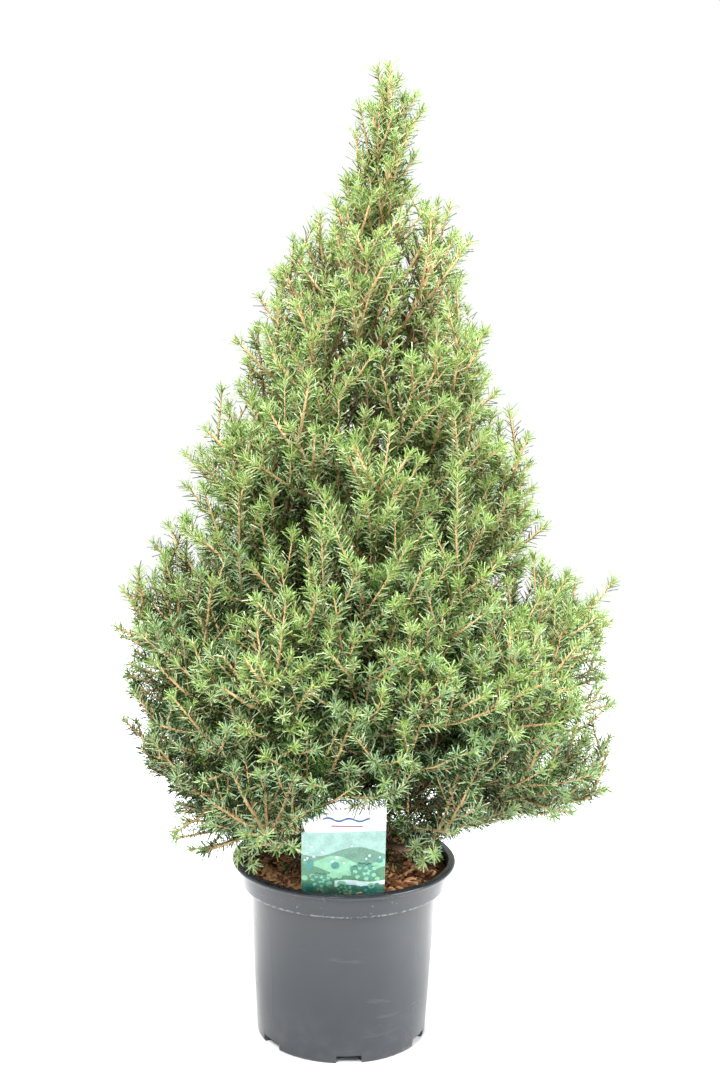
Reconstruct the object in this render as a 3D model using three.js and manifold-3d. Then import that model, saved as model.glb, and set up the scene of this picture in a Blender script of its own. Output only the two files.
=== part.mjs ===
// Potted dwarf alberta spruce: a cone of upright shoots in a round nursery pot.
// Millimetres, +Z up. The origin is the centre of the pot's flat underside, and the front faces -Y.
import * as THREE from 'three';
import { mergeVertices } from 'three/addons/utils/BufferGeometryUtils.js';
import Module from 'manifold-3d';

const wasm = await Module();
wasm.setup();

// Driving dimensions

// Room that neighbouring pieces keep between their faces.
const GAP = 0.3;

const POT = {
  height: 180,
  lipRadius: 110,
  lipDepth: 5.2,
  collarTopRadius: 104,
  collarFootRadius: 101,
  collarFoot: 156.5,
  bodyTopRadius: 92,
  bodyTop: 151,
  baseRadius: 84,
  baseRounding: 3,
  wall: 1.8,
  floor: 3,
  facets: 32,
  roundSteps: 2,
};

const DRAIN = { count: 6, firstAngle: 36, width: 25, height: 8, innerRadius: 70 };

const MEDIUM = {
  level: 168,
  frontRise: 6,
  edgeRise: 2,
  flatRadius: 26,
  bumpHeight: 1.8,
  rings: 5,
};

const CARD = {
  width: 78,
  length: 125,
  thickness: 1.2,
  bow: 2.5,
  lean: 15,
  foot: 158.5,
  footBack: 87.5,
  bends: 6,
};

const TRUNK = {
  tip: 868,
  footRadius: 10.5,
  tipRadius: 2,
  flare: 7,
  flareHeight: 14,
  lean: 30,
  leanPower: 1.3,
  sway: 4,
  sides: 10,
  steps: 14,
};

const LEADER = { tip: 945, twigs: 6, longestTwig: 38, shortestTwig: 22, spread: 30, seed: 90 };

// Whorls of limbs, from the spreading skirt up. A limb without a bough is foliage right from the trunk.
const WHORLS = [
  { name: 'skirt', limbs: 7, root: 212, tip: 284, reach: 244, azimuth: -9, rootRadius: 4.2, bough: 0.36,
    twigs: 12, longestTwig: 108, shortestTwig: 46, spread: 46 },
  { name: 'lower', limbs: 6, root: 262, tip: 428, reach: 232, azimuth: 10, rootRadius: 4.6, bough: 0.38,
    twigs: 12, longestTwig: 108, shortestTwig: 46, spread: 44 },
  { name: 'middle', limbs: 5, root: 345, tip: 580, reach: 148, azimuth: -8, rootRadius: 4.2, bough: 0.36,
    twigs: 11, longestTwig: 100, shortestTwig: 42, spread: 42 },
  { name: 'upper', limbs: 4, root: 470, tip: 705, reach: 106, azimuth: 58, rootRadius: 3.6, bough: 0.34,
    twigs: 10, longestTwig: 84, shortestTwig: 38, spread: 40 },
  { name: 'high', limbs: 3, root: 612, tip: 790, reach: 70, azimuth: 22, rootRadius: 2.8, bough: 0.3,
    twigs: 8, longestTwig: 70, shortestTwig: 32, spread: 38 },
  { name: 'summit', limbs: 3, root: 758, tip: 872, reach: 27, azimuth: 65, rootRadius: 1.8, bough: 0,
    twigs: 5, longestTwig: 46, shortestTwig: 24, spread: 34 },
];

// How the limbs of a whorl vary: the roots step up and down in turn, and the right side reaches further.
const LIMB = {
  rootStagger: 9,
  azimuthSpread: 4,
  tipSpread: 26,
  reachSpread: 0.07,
  sidePull: 0.055,
  bendOut: 0.62,
  bendUp: 0.3,
  tipRadius: 1.1,
  boughSides: 5,
  boughSteps: 4,
  stemSides: 4,
  stemSteps: 5,
};

// The crown's outline, as its radius at a height, from the hem over the pot to the tip.
const CROWN_OUTLINE = [
  { height: 192, radius: 116 },
  { height: 228, radius: 146 },
  { height: 252, radius: 204 },
  { height: 285, radius: 246 },
  { height: 405, radius: 246 },
  { height: 470, radius: 200 },
  { height: 600, radius: 150 },
  { height: 770, radius: 90 },
  { height: 830, radius: 40 },
  { height: 890, radius: 26 },
  { height: 945, radius: 8 },
];

// Side twigs stand round their stem at the golden angle and bend up towards the light.
const TWIG = {
  turn: 137.5,
  first: 0.05,
  last: 0.9,
  spreadChange: 9,
  lengthChange: 0.14,
  lift: 0.3,
  shortest: 22,
  shrink: 0.88,
  radii: [2.4, 6.5, 0],
  sprayRadius: 6,
  sides: 3,
  needles: 1,
};

// A dense mass is filled by a core round its stem, which takes a share of the mass's room and goes no
// further out than a share of its longest twig. Twigs and needles stand out of it.
const CORE = {
  share: 0.8,
  reach: 0.6,
  valley: 0.55,
  forward: 0.5,
  sides: 8,
  rings: 7,
  first: 0.02,
  last: 0.86,
  step: 3,
};

// Needles stand for small sprays, so they are larger than life.
const NEEDLE = { length: 21, radius: 1.5, sides: 3, spread: 48, first: 0.3, last: 0.86, turn: 137.5 };

const FINISH = {
  pot: { color: 0x5b6066, roughness: 0.42, metalness: 0 },
  medium: { color: 0x6b4630, roughness: 0.95, metalness: 0 },
  card: { color: 0xb8dcd0, roughness: 0.35, metalness: 0 },
  bark: { color: 0x8a6748, roughness: 0.9, metalness: 0 },
  foliage: { color: 0x5f8a3c, roughness: 0.65, metalness: 0 },
};

const UP = new THREE.Vector3(0, 0, 1);
const radians = THREE.MathUtils.degToRad;
const mix = THREE.MathUtils.lerp;

// Repeatable draws between 0 and 1, from a multiplicative generator with a prime modulus.
function drawsFrom(seed) {
  const modulus = 2147483647;
  let state = (seed * 7919 + 104729) % modulus;
  const draw = () => {
    state = (state * 48271) % modulus;
    return state / modulus;
  };
  draw();
  draw();
  return draw;
}

function aroundZero(draw) {
  return 2 * draw() - 1;
}

// Solids, cuts and joins

function solidOf(geometry) {
  const bare = geometry.index ? geometry.toNonIndexed() : geometry.clone();
  bare.deleteAttribute('normal');
  bare.deleteAttribute('uv');
  const merged = mergeVertices(bare, 1e-4);
  return new wasm.Manifold(new wasm.Mesh({
    numProp: 3,
    vertProperties: Float32Array.from(merged.attributes.position.array),
    triVerts: Uint32Array.from(merged.index.array),
  }));
}

function geometryOf(solid) {
  const mesh = solid.getMesh();
  const geometry = new THREE.BufferGeometry();
  geometry.setAttribute('position', new THREE.BufferAttribute(mesh.vertProperties, 3));
  geometry.setIndex(new THREE.BufferAttribute(mesh.triVerts, 1));
  geometry.computeVertexNormals();
  return geometry;
}

// The largest body of a solid, so that no loose scrap stays beside it.
function mainBody(solid) {
  const bodies = solid.decompose();
  return bodies.reduce((best, body) => (body.volume() > best.volume() ? body : best));
}

// The level direction across a curve where it starts, or +X where it starts nearly upright.
function asideOf(curve) {
  const aside = new THREE.Vector3().crossVectors(curve.getTangent(0), UP);
  return aside.length() < 0.2 ? new THREE.Vector3(1, 0, 0) : aside.normalize();
}

// A direction that leans away from an axis by a spread, at an angle round it that is counted from aside.
function leaning(axis, aside, spread, angle) {
  const side = aside.clone().addScaledVector(axis, -aside.dot(axis)).normalize();
  const lift = new THREE.Vector3().crossVectors(side, axis);
  return axis.clone().multiplyScalar(Math.cos(spread))
    .addScaledVector(side, Math.sin(spread) * Math.cos(angle))
    .addScaledVector(lift, Math.sin(spread) * Math.sin(angle));
}

// A cylinder whose rings follow a curve, one ring for each radius. A last radius of 0 ends in a point.
function taperAlong(curve, radii, sides) {
  const steps = radii.length - 1;
  const pointed = radii[steps] === 0;
  const geometry = new THREE.CylinderGeometry(pointed ? 0 : 1, 1, 1, sides, steps);
  const position = geometry.attributes.position;
  const aside = asideOf(curve);
  const vertex = new THREE.Vector3();
  for (let index = 0; index < position.count; index += 1) {
    vertex.fromBufferAttribute(position, index);
    const ring = Math.round((vertex.y + 0.5) * steps);
    const onAxis = Math.hypot(vertex.x, vertex.z) < 1e-6;
    const angle = Math.atan2(vertex.z, vertex.x);
    const outward = leaning(curve.getTangent(ring / steps), aside, Math.PI / 2, angle);
    const place = curve.getPoint(ring / steps).addScaledVector(outward, onAxis ? 0 : radii[ring]);
    position.setXYZ(index, place.x, place.y, place.z);
  }
  return geometry;
}

// A stretch of a longer curve, from one share of it to another.
class Stretch extends THREE.Curve {
  constructor(whole, from, to) {
    super();
    this.whole = whole;
    this.from = from;
    this.to = to;
  }

  getPoint(share, target = new THREE.Vector3()) {
    return this.whole.getPoint(mix(this.from, this.to, share), target);
  }

  getTangent(share, target = new THREE.Vector3()) {
    return this.whole.getTangent(mix(this.from, this.to, share), target);
  }
}

// Pot, growing medium and card

// The inner face of the wall, from the floor to the rim, drawn in by a clearance.
function innerWall(clearance) {
  const inset = POT.wall + clearance;
  return [
    new THREE.Vector2(POT.baseRadius - inset, POT.floor + clearance),
    new THREE.Vector2(POT.bodyTopRadius - inset, POT.bodyTop + POT.wall),
    new THREE.Vector2(POT.collarFootRadius - inset, POT.collarFoot + POT.wall + clearance),
    new THREE.Vector2(POT.collarTopRadius - inset, POT.height - 2),
  ];
}

function potSolid() {
  const lipFoot = POT.height - POT.lipDepth;
  const half = POT.lipDepth / 2;
  const outline = new THREE.Path();
  outline.moveTo(0, 0);
  outline.lineTo(POT.baseRadius - POT.baseRounding, 0);
  outline.quadraticCurveTo(POT.baseRadius, 0, POT.baseRadius, POT.baseRounding);
  outline.lineTo(POT.bodyTopRadius, POT.bodyTop);
  outline.bezierCurveTo(
    POT.bodyTopRadius + 4, POT.bodyTop + 2, POT.collarFootRadius, POT.bodyTop + 2,
    POT.collarFootRadius, POT.collarFoot,
  );
  outline.lineTo(POT.collarTopRadius, lipFoot);
  outline.lineTo(POT.lipRadius - half / 2, lipFoot);
  outline.quadraticCurveTo(POT.lipRadius, lipFoot, POT.lipRadius, lipFoot + half);
  outline.quadraticCurveTo(POT.lipRadius, POT.height, POT.lipRadius - half, POT.height);
  outline.lineTo(POT.collarTopRadius, POT.height);
  for (const corner of innerWall(0).reverse()) {
    outline.lineTo(corner.x, corner.y);
  }
  outline.lineTo(0, POT.floor);
  const shell = new THREE.LatheGeometry(outline.getPoints(POT.roundSteps), POT.facets);
  shell.rotateX(Math.PI / 2);
  let pot = solidOf(shell);
  const depth = POT.baseRadius + 10 - DRAIN.innerRadius;
  for (let index = 0; index < DRAIN.count; index += 1) {
    const notch = new THREE.BoxGeometry(depth, DRAIN.width, 2 * DRAIN.height);
    notch.translate(DRAIN.innerRadius + depth / 2, 0, 0);
    notch.rotateZ(radians(DRAIN.firstAngle + (index * 360) / DRAIN.count));
    pot = pot.subtract(solidOf(notch));
  }
  return pot;
}

// The card bends to the rim, leans forward over it and has its foot in the medium.
function cardGeometry(clearance) {
  const width = CARD.width + 2 * clearance;
  const length = CARD.length + 2 * clearance;
  const card = new THREE.BoxGeometry(width, CARD.thickness + 2 * clearance, length, CARD.bends, 1, 1);
  const position = card.attributes.position;
  for (let index = 0; index < position.count; index += 1) {
    const across = (2 * position.getX(index)) / CARD.width;
    position.setY(index, position.getY(index) - CARD.bow * (1 - across * across));
  }
  card.translate(0, 0, CARD.length / 2);
  card.rotateX(radians(CARD.lean));
  card.translate(0, -CARD.footBack + CARD.bow, CARD.foot);
  return card;
}

// Bark chips lie in low heaps, higher at the front and level round the trunk's foot.
function mediumSurface(x, y) {
  const radius = Math.hypot(x, y);
  const out = THREE.MathUtils.smoothstep(radius, MEDIUM.flatRadius, POT.bodyTopRadius);
  const heaps = Math.sin(x / 9 + 1.2) * Math.cos(y / 11) + Math.sin((x + 2 * y) / 13);
  const front = (MEDIUM.frontRise * Math.max(0, -y)) / POT.bodyTopRadius;
  return MEDIUM.level + out * (MEDIUM.edgeRise + front + MEDIUM.bumpHeight * heaps * 0.5);
}

function mediumSolid() {
  const wall = innerWall(GAP);
  const rimInside = wall.pop();
  const collarFoot = wall[wall.length - 1];
  const edge = mix(collarFoot.x, rimInside.x, (MEDIUM.level - collarFoot.y) / (rimInside.y - collarFoot.y));
  const profile = [new THREE.Vector2(0, POT.floor + GAP), ...wall];
  for (let ring = MEDIUM.rings; ring >= 1; ring -= 1) {
    const out = (ring - 1) / (MEDIUM.rings - 1);
    profile.push(new THREE.Vector2(mix(MEDIUM.flatRadius, edge, out), MEDIUM.level));
  }
  profile.push(new THREE.Vector2(0, MEDIUM.level));
  const fill = new THREE.LatheGeometry(profile, POT.facets);
  fill.rotateX(Math.PI / 2);
  const position = fill.attributes.position;
  for (let index = 0; index < position.count; index += 1) {
    if (position.getZ(index) > MEDIUM.level - 1) {
      position.setZ(index, mediumSurface(position.getX(index), position.getY(index)));
    }
  }
  return solidOf(fill).subtract(solidOf(cardGeometry(GAP)));
}

// Trunk and limbs

const TRUNK_FOOT = MEDIUM.level + GAP;

function trunkRise(height) {
  return (height - TRUNK_FOOT) / (LEADER.tip - TRUNK_FOOT);
}

function trunkCentre(height) {
  const rise = trunkRise(height);
  const sway = TRUNK.sway * Math.sin(2 * Math.PI * rise);
  return new THREE.Vector3(TRUNK.lean * rise ** TRUNK.leanPower + sway, sway / 2, height);
}

function trunkRadius(height) {
  const flare = TRUNK.flare * Math.exp(-(height - TRUNK_FOOT) / TRUNK.flareHeight);
  return mix(TRUNK.footRadius, TRUNK.tipRadius, trunkRise(height)) + flare;
}

// The trunk's centre line by share of its height, with more rings near the root flare.
class TrunkLine extends THREE.Curve {
  heightAt(share) {
    return mix(TRUNK_FOOT, TRUNK.tip, share ** 1.5);
  }

  getPoint(share) {
    return trunkCentre(this.heightAt(share));
  }

  // Level at the foot, so that the cut there is flat.
  getTangent(share) {
    if (share === 0) {
      return UP.clone();
    }
    const height = this.heightAt(share);
    return trunkCentre(height + 1).sub(trunkCentre(height - 1)).normalize();
  }
}

function trunkSolid(clearance) {
  const line = new TrunkLine();
  const radii = [];
  for (let step = 0; step <= TRUNK.steps; step += 1) {
    radii.push(trunkRadius(line.heightAt(step / TRUNK.steps)) + clearance);
  }
  return solidOf(taperAlong(line, radii, TRUNK.sides));
}

// The crown reaches a little further on its right side.
function sidePull(azimuth) {
  return 1 + LIMB.sidePull * Math.cos(azimuth);
}

// One limb of a whorl: a curve that leaves the trunk outwards and turns up.
function limbOf(whorl, index, seed) {
  const draw = drawsFrom(seed);
  const azimuth = radians(
    whorl.azimuth + (index * 360) / whorl.limbs + LIMB.azimuthSpread * aroundZero(draw),
  );
  const stagger = index % 2 === 0 ? -LIMB.rootStagger : LIMB.rootStagger;
  const root = whorl.root + stagger;
  const tip = whorl.tip + LIMB.tipSpread * aroundZero(draw);
  const reach = whorl.reach * sidePull(azimuth) * (1 + LIMB.reachSpread * aroundZero(draw));
  const out = new THREE.Vector3(Math.cos(azimuth), Math.sin(azimuth), 0);
  const start = trunkCentre(root);
  const end = trunkCentre(tip).addScaledVector(out, reach);
  const bend = start.clone()
    .addScaledVector(out, reach * LIMB.bendOut)
    .addScaledVector(UP, (tip - root) * LIMB.bendUp);
  return {
    whorl,
    draw,
    name: `${whorl.name}_${index + 1}`,
    curve: new THREE.QuadraticBezierCurve3(start, bend, end),
    radiusAt: (share) => mix(whorl.rootRadius, LIMB.tipRadius, share),
  };
}

function leaderLimb() {
  const start = trunkCentre(TRUNK.tip + GAP);
  const end = trunkCentre(LEADER.tip);
  const bend = start.clone().lerp(end, 0.5);
  return {
    whorl: { ...LEADER, bough: 0 },
    draw: drawsFrom(LEADER.seed),
    name: 'leader',
    curve: new THREE.QuadraticBezierCurve3(start, bend, end),
    radiusAt: (share) => mix(TRUNK.tipRadius, LIMB.tipRadius, share),
  };
}

function allLimbs() {
  const limbs = [];
  for (const whorl of WHORLS) {
    for (let index = 0; index < whorl.limbs; index += 1) {
      limbs.push(limbOf(whorl, index, limbs.length + 1));
    }
  }
  limbs.push(leaderLimb());
  return limbs;
}

function radiiOf(limb, from, to, steps) {
  return Array.from({ length: steps + 1 }, (_, step) => limb.radiusAt(mix(from, to, step / steps)));
}

function boughSolid(limb, trunkRoom) {
  const { bough } = limb.whorl;
  const line = new Stretch(limb.curve, 0, bough);
  const radii = radiiOf(limb, 0, bough, LIMB.boughSteps);
  return mainBody(solidOf(taperAlong(line, radii, LIMB.boughSides)).subtract(trunkRoom));
}

// Room for each mass

const STEM_MARKS = 8;
const LIMB_MARKS = 24;
const CLEAR = 0.5;

// Where each limb's foliage begins: a gap past the end of its bough.
function foliageStart(limb) {
  if (limb.whorl.bough === 0) {
    return 0;
  }
  return limb.whorl.bough + GAP / limb.curve.getLength();
}

function marksAlong(curve, from, to, count) {
  return Array.from({ length: count + 1 }, (_, step) => curve.getPoint(mix(from, to, step / count)));
}

// The trunk and boughs as rows of balls, to test whether a twig or needle would touch one.
function limbBalls(limbs) {
  const balls = [];
  for (const limb of limbs.filter((one) => one.whorl.bough > 0)) {
    for (let step = 0; step <= LIMB_MARKS; step += 1) {
      const share = (limb.whorl.bough * step) / LIMB_MARKS;
      balls.push({ centre: limb.curve.getPoint(share), radius: limb.radiusAt(share) });
    }
  }
  for (let height = TRUNK_FOOT; height <= TRUNK.tip; height += 4) {
    balls.push({ centre: trunkCentre(height), radius: trunkRadius(height) });
  }
  return balls;
}

// A point with a radius is in its mass's own room when it lies that far on the near side of the
// halfway plane to every other mass's stem, and it touches no limb, the pot, the medium or the card.
function roomTest(ownMarks, otherMarks, balls) {
  return (point, radius) => {
    let nearest = ownMarks[0];
    for (const mark of ownMarks) {
      if (mark.distanceToSquared(point) < nearest.distanceToSquared(point)) {
        nearest = mark;
      }
    }
    const own = nearest.distanceToSquared(point);
    const inRoom = otherMarks.every((mark) => (
      mark.distanceToSquared(point) - own > 2 * (radius + CLEAR) * mark.distanceTo(nearest)
    ));
    const clearOfLimbs = balls.every((ball) => (
      ball.centre.distanceTo(point) > ball.radius + radius + CLEAR
    ));
    return inRoom && clearOfLimbs && clearOfPot(point, radius + CLEAR);
  };
}

function clearOfPot(point, radius) {
  const overRim = point.z > POT.height + radius;
  const lean = radians(CARD.lean);
  const up = point.z - CARD.foot;
  const front = -point.y - CARD.footBack;
  const fromFace = Math.abs(front * Math.cos(lean) - up * Math.sin(lean));
  const byCard = Math.abs(point.x) < CARD.width / 2 + radius
    && front * Math.sin(lean) + up * Math.cos(lean) < CARD.length + radius
    && fromFace < CARD.bow + CARD.thickness + radius;
  return overRim && !byCard;
}

function crownRadius(height) {
  const above = CROWN_OUTLINE.findIndex((mark) => mark.height > height);
  if (above <= 0) {
    return 0;
  }
  const low = CROWN_OUTLINE[above - 1];
  const high = CROWN_OUTLINE[above];
  return mix(low.radius, high.radius, (height - low.height) / (high.height - low.height));
}

function insideCrown(point) {
  const centre = trunkCentre(point.z);
  const azimuth = Math.atan2(point.y - centre.y, point.x - centre.x);
  const out = Math.hypot(point.x - centre.x, point.y - centre.y);
  return out < crownRadius(point.z) * sidePull(azimuth);
}

// Foliage

function twigCurve(root, heading, length) {
  const middle = root.clone().addScaledVector(heading, length / 2);
  const tip = root.clone().addScaledVector(heading, length).addScaledVector(UP, length * TWIG.lift);
  return new THREE.QuadraticBezierCurve3(root, middle, tip);
}

function fits(curve, inRoom, radius, from) {
  return marksAlong(curve, from, 1, 6).every((point) => inRoom(point, radius));
}

// The twig is shortened until it lies within the crown and its mass's room, or skipped.
function fittedTwig(root, heading, wanted, inRoom) {
  for (let length = wanted; length > TWIG.shortest; length *= TWIG.shrink) {
    const curve = twigCurve(root, heading, length);
    if (insideCrown(curve.getPoint(1)) && fits(curve, inRoom, TWIG.sprayRadius, 0.2)) {
      return curve;
    }
  }
  return null;
}

function needleSolid(root, heading, length) {
  const needle = new THREE.ConeGeometry(NEEDLE.radius, length, NEEDLE.sides);
  needle.translate(0, length / 2, 0);
  needle.applyQuaternion(new THREE.Quaternion().setFromUnitVectors(new THREE.Vector3(0, 1, 0), heading));
  needle.translate(root.x, root.y, root.z);
  return solidOf(needle);
}

function needlesOn(curve, count, angle, inRoom) {
  const needles = [];
  const aside = asideOf(curve);
  const spread = radians(NEEDLE.spread);
  for (let index = 0; index < count; index += 1) {
    const share = mix(NEEDLE.first, NEEDLE.last, (index + 0.5) / count);
    const root = curve.getPoint(share);
    const heading = leaning(curve.getTangent(share), aside, spread, angle + index * radians(NEEDLE.turn));
    const end = root.clone().addScaledVector(heading, NEEDLE.length);
    if (fits(new THREE.LineCurve3(root, end), inRoom, NEEDLE.radius, 0.3)) {
      needles.push(needleSolid(root, heading, NEEDLE.length));
    }
  }
  return needles;
}

// How far a mass's room goes from a point on its stem in one direction, up to a limit.
function roomAlong(point, direction, limit, inCoreRoom) {
  let radius = CORE.step;
  while (radius < limit && inCoreRoom(point.clone().addScaledVector(direction, radius))) {
    radius += CORE.step;
  }
  return Math.min(radius, limit);
}

// A ball whose poles lie on the stem. Every other point is a shoot, drawn out to its share of the room and
// half a ring towards the tip, and the points between them are drawn in.
function coreSolid(stem, longestTwig, inRoom) {
  const inCoreRoom = (point) => insideCrown(point) && inRoom(point, 0);
  const aside = asideOf(stem);
  const ball = new THREE.SphereGeometry(1, CORE.sides, CORE.rings);
  const position = ball.attributes.position;
  const vertex = new THREE.Vector3();
  for (let index = 0; index < position.count; index += 1) {
    vertex.fromBufferAttribute(position, index);
    const fullness = Math.hypot(vertex.x, vertex.z);
    const ring = Math.round((Math.acos(-vertex.y) / Math.PI) * CORE.rings);
    const side = Math.round((Math.atan2(vertex.z, vertex.x) / (2 * Math.PI)) * CORE.sides);
    const pole = fullness < 1e-6;
    const shoot = !pole && (ring + side) % 2 === 0;
    const share = mix(CORE.first, CORE.last, (ring + (shoot ? CORE.forward : 0)) / CORE.rings);
    const place = stem.getPoint(share);
    if (!pole) {
      const around = (2 * Math.PI * side) / CORE.sides;
      const direction = leaning(stem.getTangent(share), aside, Math.PI / 2, around);
      const limit = (longestTwig * CORE.reach) / CORE.share;
      const room = CORE.share * roomAlong(place, direction, limit, inCoreRoom);
      place.addScaledVector(direction, Math.sqrt(fullness) * room * (shoot ? 1 : CORE.valley));
    }
    position.setXYZ(index, place.x, place.y, place.z);
  }
  return solidOf(ball);
}

// A mass: its stem and core, the twigs round it and needles on both, joined into one solid that is cut
// clear of the trunk and the card.
function massSolid(limb, inRoom, keptClear) {
  const { whorl, draw } = limb;
  const from = foliageStart(limb);
  const stem = new Stretch(limb.curve, from, 1);
  const aside = asideOf(stem);
  const stemRadii = [...radiiOf(limb, from, 0.92, LIMB.stemSteps - 1), 0];
  const pieces = [
    solidOf(taperAlong(stem, stemRadii, LIMB.stemSides)),
    coreSolid(stem, whorl.longestTwig, inRoom),
  ];
  let angle = 2 * Math.PI * draw();
  for (let index = 0; index < whorl.twigs; index += 1) {
    const along = index / (whorl.twigs - 1);
    const share = mix(TWIG.first, TWIG.last, along);
    const change = 1 + TWIG.lengthChange * aroundZero(draw);
    const spread = radians(whorl.spread + TWIG.spreadChange * aroundZero(draw));
    angle += radians(TWIG.turn);
    const root = stem.getPoint(share);
    const heading = leaning(stem.getTangent(share), aside, spread, angle);
    const wanted = mix(whorl.longestTwig, whorl.shortestTwig, along) * change;
    const curve = fittedTwig(root, heading, wanted, inRoom);
    if (curve) {
      pieces.push(solidOf(taperAlong(curve, TWIG.radii, TWIG.sides)));
      pieces.push(...needlesOn(curve, TWIG.needles, angle, inRoom));
    }
  }
  pieces.push(...needlesOn(stem, 2, angle, inRoom));
  return mainBody(wasm.Manifold.union(pieces).subtract(keptClear));
}

// Assembly

function pieceOf(name, solid, finish) {
  const mesh = new THREE.Mesh(geometryOf(solid), new THREE.MeshStandardMaterial(FINISH[finish]));
  mesh.name = name;
  return mesh;
}

function potGroup() {
  const group = new THREE.Group();
  group.add(pieceOf('pot', potSolid(), 'pot'));
  group.add(pieceOf('growing_medium', mediumSolid(), 'medium'));
  group.add(pieceOf('label_card', solidOf(cardGeometry(0)), 'card'));
  return group;
}

function treeGroup() {
  const group = new THREE.Group();
  const limbs = allLimbs();
  const balls = limbBalls(limbs);
  const trunkRoom = trunkSolid(GAP);
  const keptClear = trunkRoom.add(solidOf(cardGeometry(GAP)));
  const marks = limbs.map((limb) => marksAlong(limb.curve, foliageStart(limb), 1, STEM_MARKS));
  group.add(pieceOf('trunk', trunkSolid(0), 'bark'));
  limbs.forEach((limb, index) => {
    if (limb.whorl.bough > 0) {
      group.add(pieceOf(`bough_${limb.name}`, boughSolid(limb, trunkRoom), 'bark'));
    }
    const others = marks.filter((_, other) => other !== index).flat();
    const inRoom = roomTest(marks[index], others, balls);
    group.add(pieceOf(`foliage_${limb.name}`, massSolid(limb, inRoom, keptClear), 'foliage'));
  });
  return group;
}

const spruce = new THREE.Group();
spruce.add(potGroup(), treeGroup());

export default spruce;
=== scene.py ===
"""Looks of the potted dwarf alberta spruce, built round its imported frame.

Metres, +Z up, the origin at the centre of the pot's flat underside and the front towards -Y.
The sizes in the dataclasses are millimetres and degrees, and make_piece turns them into metres.
"""

import logging
import math
from collections.abc import Callable, Sequence
from dataclasses import dataclass, field
from enum import Enum

import bpy
import numpy as np
from bpy.types import ID, Material, Node, NodeOutputs, NodeSocket as Socket, NodeTree, Object
from mathutils import Matrix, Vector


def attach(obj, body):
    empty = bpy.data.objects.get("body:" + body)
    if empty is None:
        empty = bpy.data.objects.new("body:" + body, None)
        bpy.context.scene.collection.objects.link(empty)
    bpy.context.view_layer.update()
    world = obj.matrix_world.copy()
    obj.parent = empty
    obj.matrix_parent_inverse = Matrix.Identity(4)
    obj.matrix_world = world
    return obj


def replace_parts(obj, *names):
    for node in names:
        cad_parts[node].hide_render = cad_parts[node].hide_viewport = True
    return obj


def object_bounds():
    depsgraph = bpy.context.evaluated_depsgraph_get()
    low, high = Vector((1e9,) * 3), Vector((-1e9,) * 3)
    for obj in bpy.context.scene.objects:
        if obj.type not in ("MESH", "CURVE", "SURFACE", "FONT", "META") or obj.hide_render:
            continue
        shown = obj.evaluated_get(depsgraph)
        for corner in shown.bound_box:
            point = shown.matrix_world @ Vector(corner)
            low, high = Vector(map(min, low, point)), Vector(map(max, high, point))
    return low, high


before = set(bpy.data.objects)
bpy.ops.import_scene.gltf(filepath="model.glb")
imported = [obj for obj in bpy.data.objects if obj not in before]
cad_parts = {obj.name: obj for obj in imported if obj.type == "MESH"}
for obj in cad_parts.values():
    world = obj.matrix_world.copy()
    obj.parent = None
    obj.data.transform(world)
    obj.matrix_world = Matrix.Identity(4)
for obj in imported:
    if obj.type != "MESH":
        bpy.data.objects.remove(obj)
CAD_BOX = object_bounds()

log = logging.getLogger("spruce")

MM = 0.001
UP = np.array([0.0, 0.0, 1.0])
FULL_TURN = 2 * math.pi
GOLDEN_TURN = math.radians(137.5)
NEARLY_UPRIGHT = 0.2

Array = np.ndarray
Number = float | Array
Color = tuple[float, float, float]
Span = tuple[float, float]
Ramp = tuple[float, float, float, float]
Numbers = tuple[float, ...]


def mix(low: Number, high: Number, share: Number) -> Number:
    """Straight blend from low, at a share of 0, to high, at a share of 1."""
    return low + (high - low) * share


def norm(vectors: Array) -> Array:
    """How long the vectors in the last axis are."""
    return np.linalg.norm(vectors, axis=-1)


def unit(vectors: Array) -> Array:
    """The vectors in the last axis at length 1."""
    return vectors / np.maximum(np.linalg.norm(vectors, axis=-1, keepdims=True), 1e-9)


def smooth_step(value: Array, low: float, high: float) -> Array:
    """A rise from 0 to 1 between low and high that is level at both ends: 3t^2 - 2t^3."""
    share = np.clip((value - low) / (high - low), 0, 1)
    return share * share * (3 - 2 * share)


def spin(first: Array, second: Array, angle: Number) -> tuple[Array, Array]:
    """Turns two coordinates a and b by an angle, to a cos - b sin and a sin + b cos."""
    sine, cosine = np.sin(angle), np.cos(angle)
    return first * cosine - second * sine, first * sine + second * cosine


def even_angles(count: int) -> Array:
    """Angles over a full turn in even steps from 0."""
    return np.linspace(0, FULL_TURN, count, endpoint=False)


def dealt(count: Array) -> tuple[Array, Array]:
    """Repeats each row by its count: the row of each copy, and the copy's number in its row from 0."""
    rows = np.repeat(np.arange(len(count)), count)
    return rows, np.arange(len(rows)) - np.repeat(np.cumsum(count) - count, count)


# Meshes


@dataclass
class Surface:
    """Points in millimetres and faces of one or more closed surfaces."""

    points: Array
    faces: list[Array]

    def triangles(self) -> int:
        """How many triangles the faces make."""
        return sum(len(group) * (group.shape[1] - 2) for group in self.faces)


def join(surfaces: Sequence[Surface]) -> Surface:
    """Puts several surfaces into one, without merging points.

    Args:
        surfaces: the surfaces, each with its own numbering.

    Returns:
        One surface that holds all points and faces.
    """
    faces: list[Array] = []
    offset = 0
    for surface in surfaces:
        faces += [group + offset for group in surface.faces]
        offset += len(surface.points)
    return Surface(np.concatenate([surface.points for surface in surfaces]), faces)


def new_object(name: str, data: ID) -> Object:
    """Links a new object to the scene.

    Args:
        name: its name.
        data: its mesh, light or camera.

    Returns:
        The object, at the origin.
    """
    item = bpy.data.objects.new(name, data)
    bpy.context.scene.collection.objects.link(item)
    return item


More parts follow.
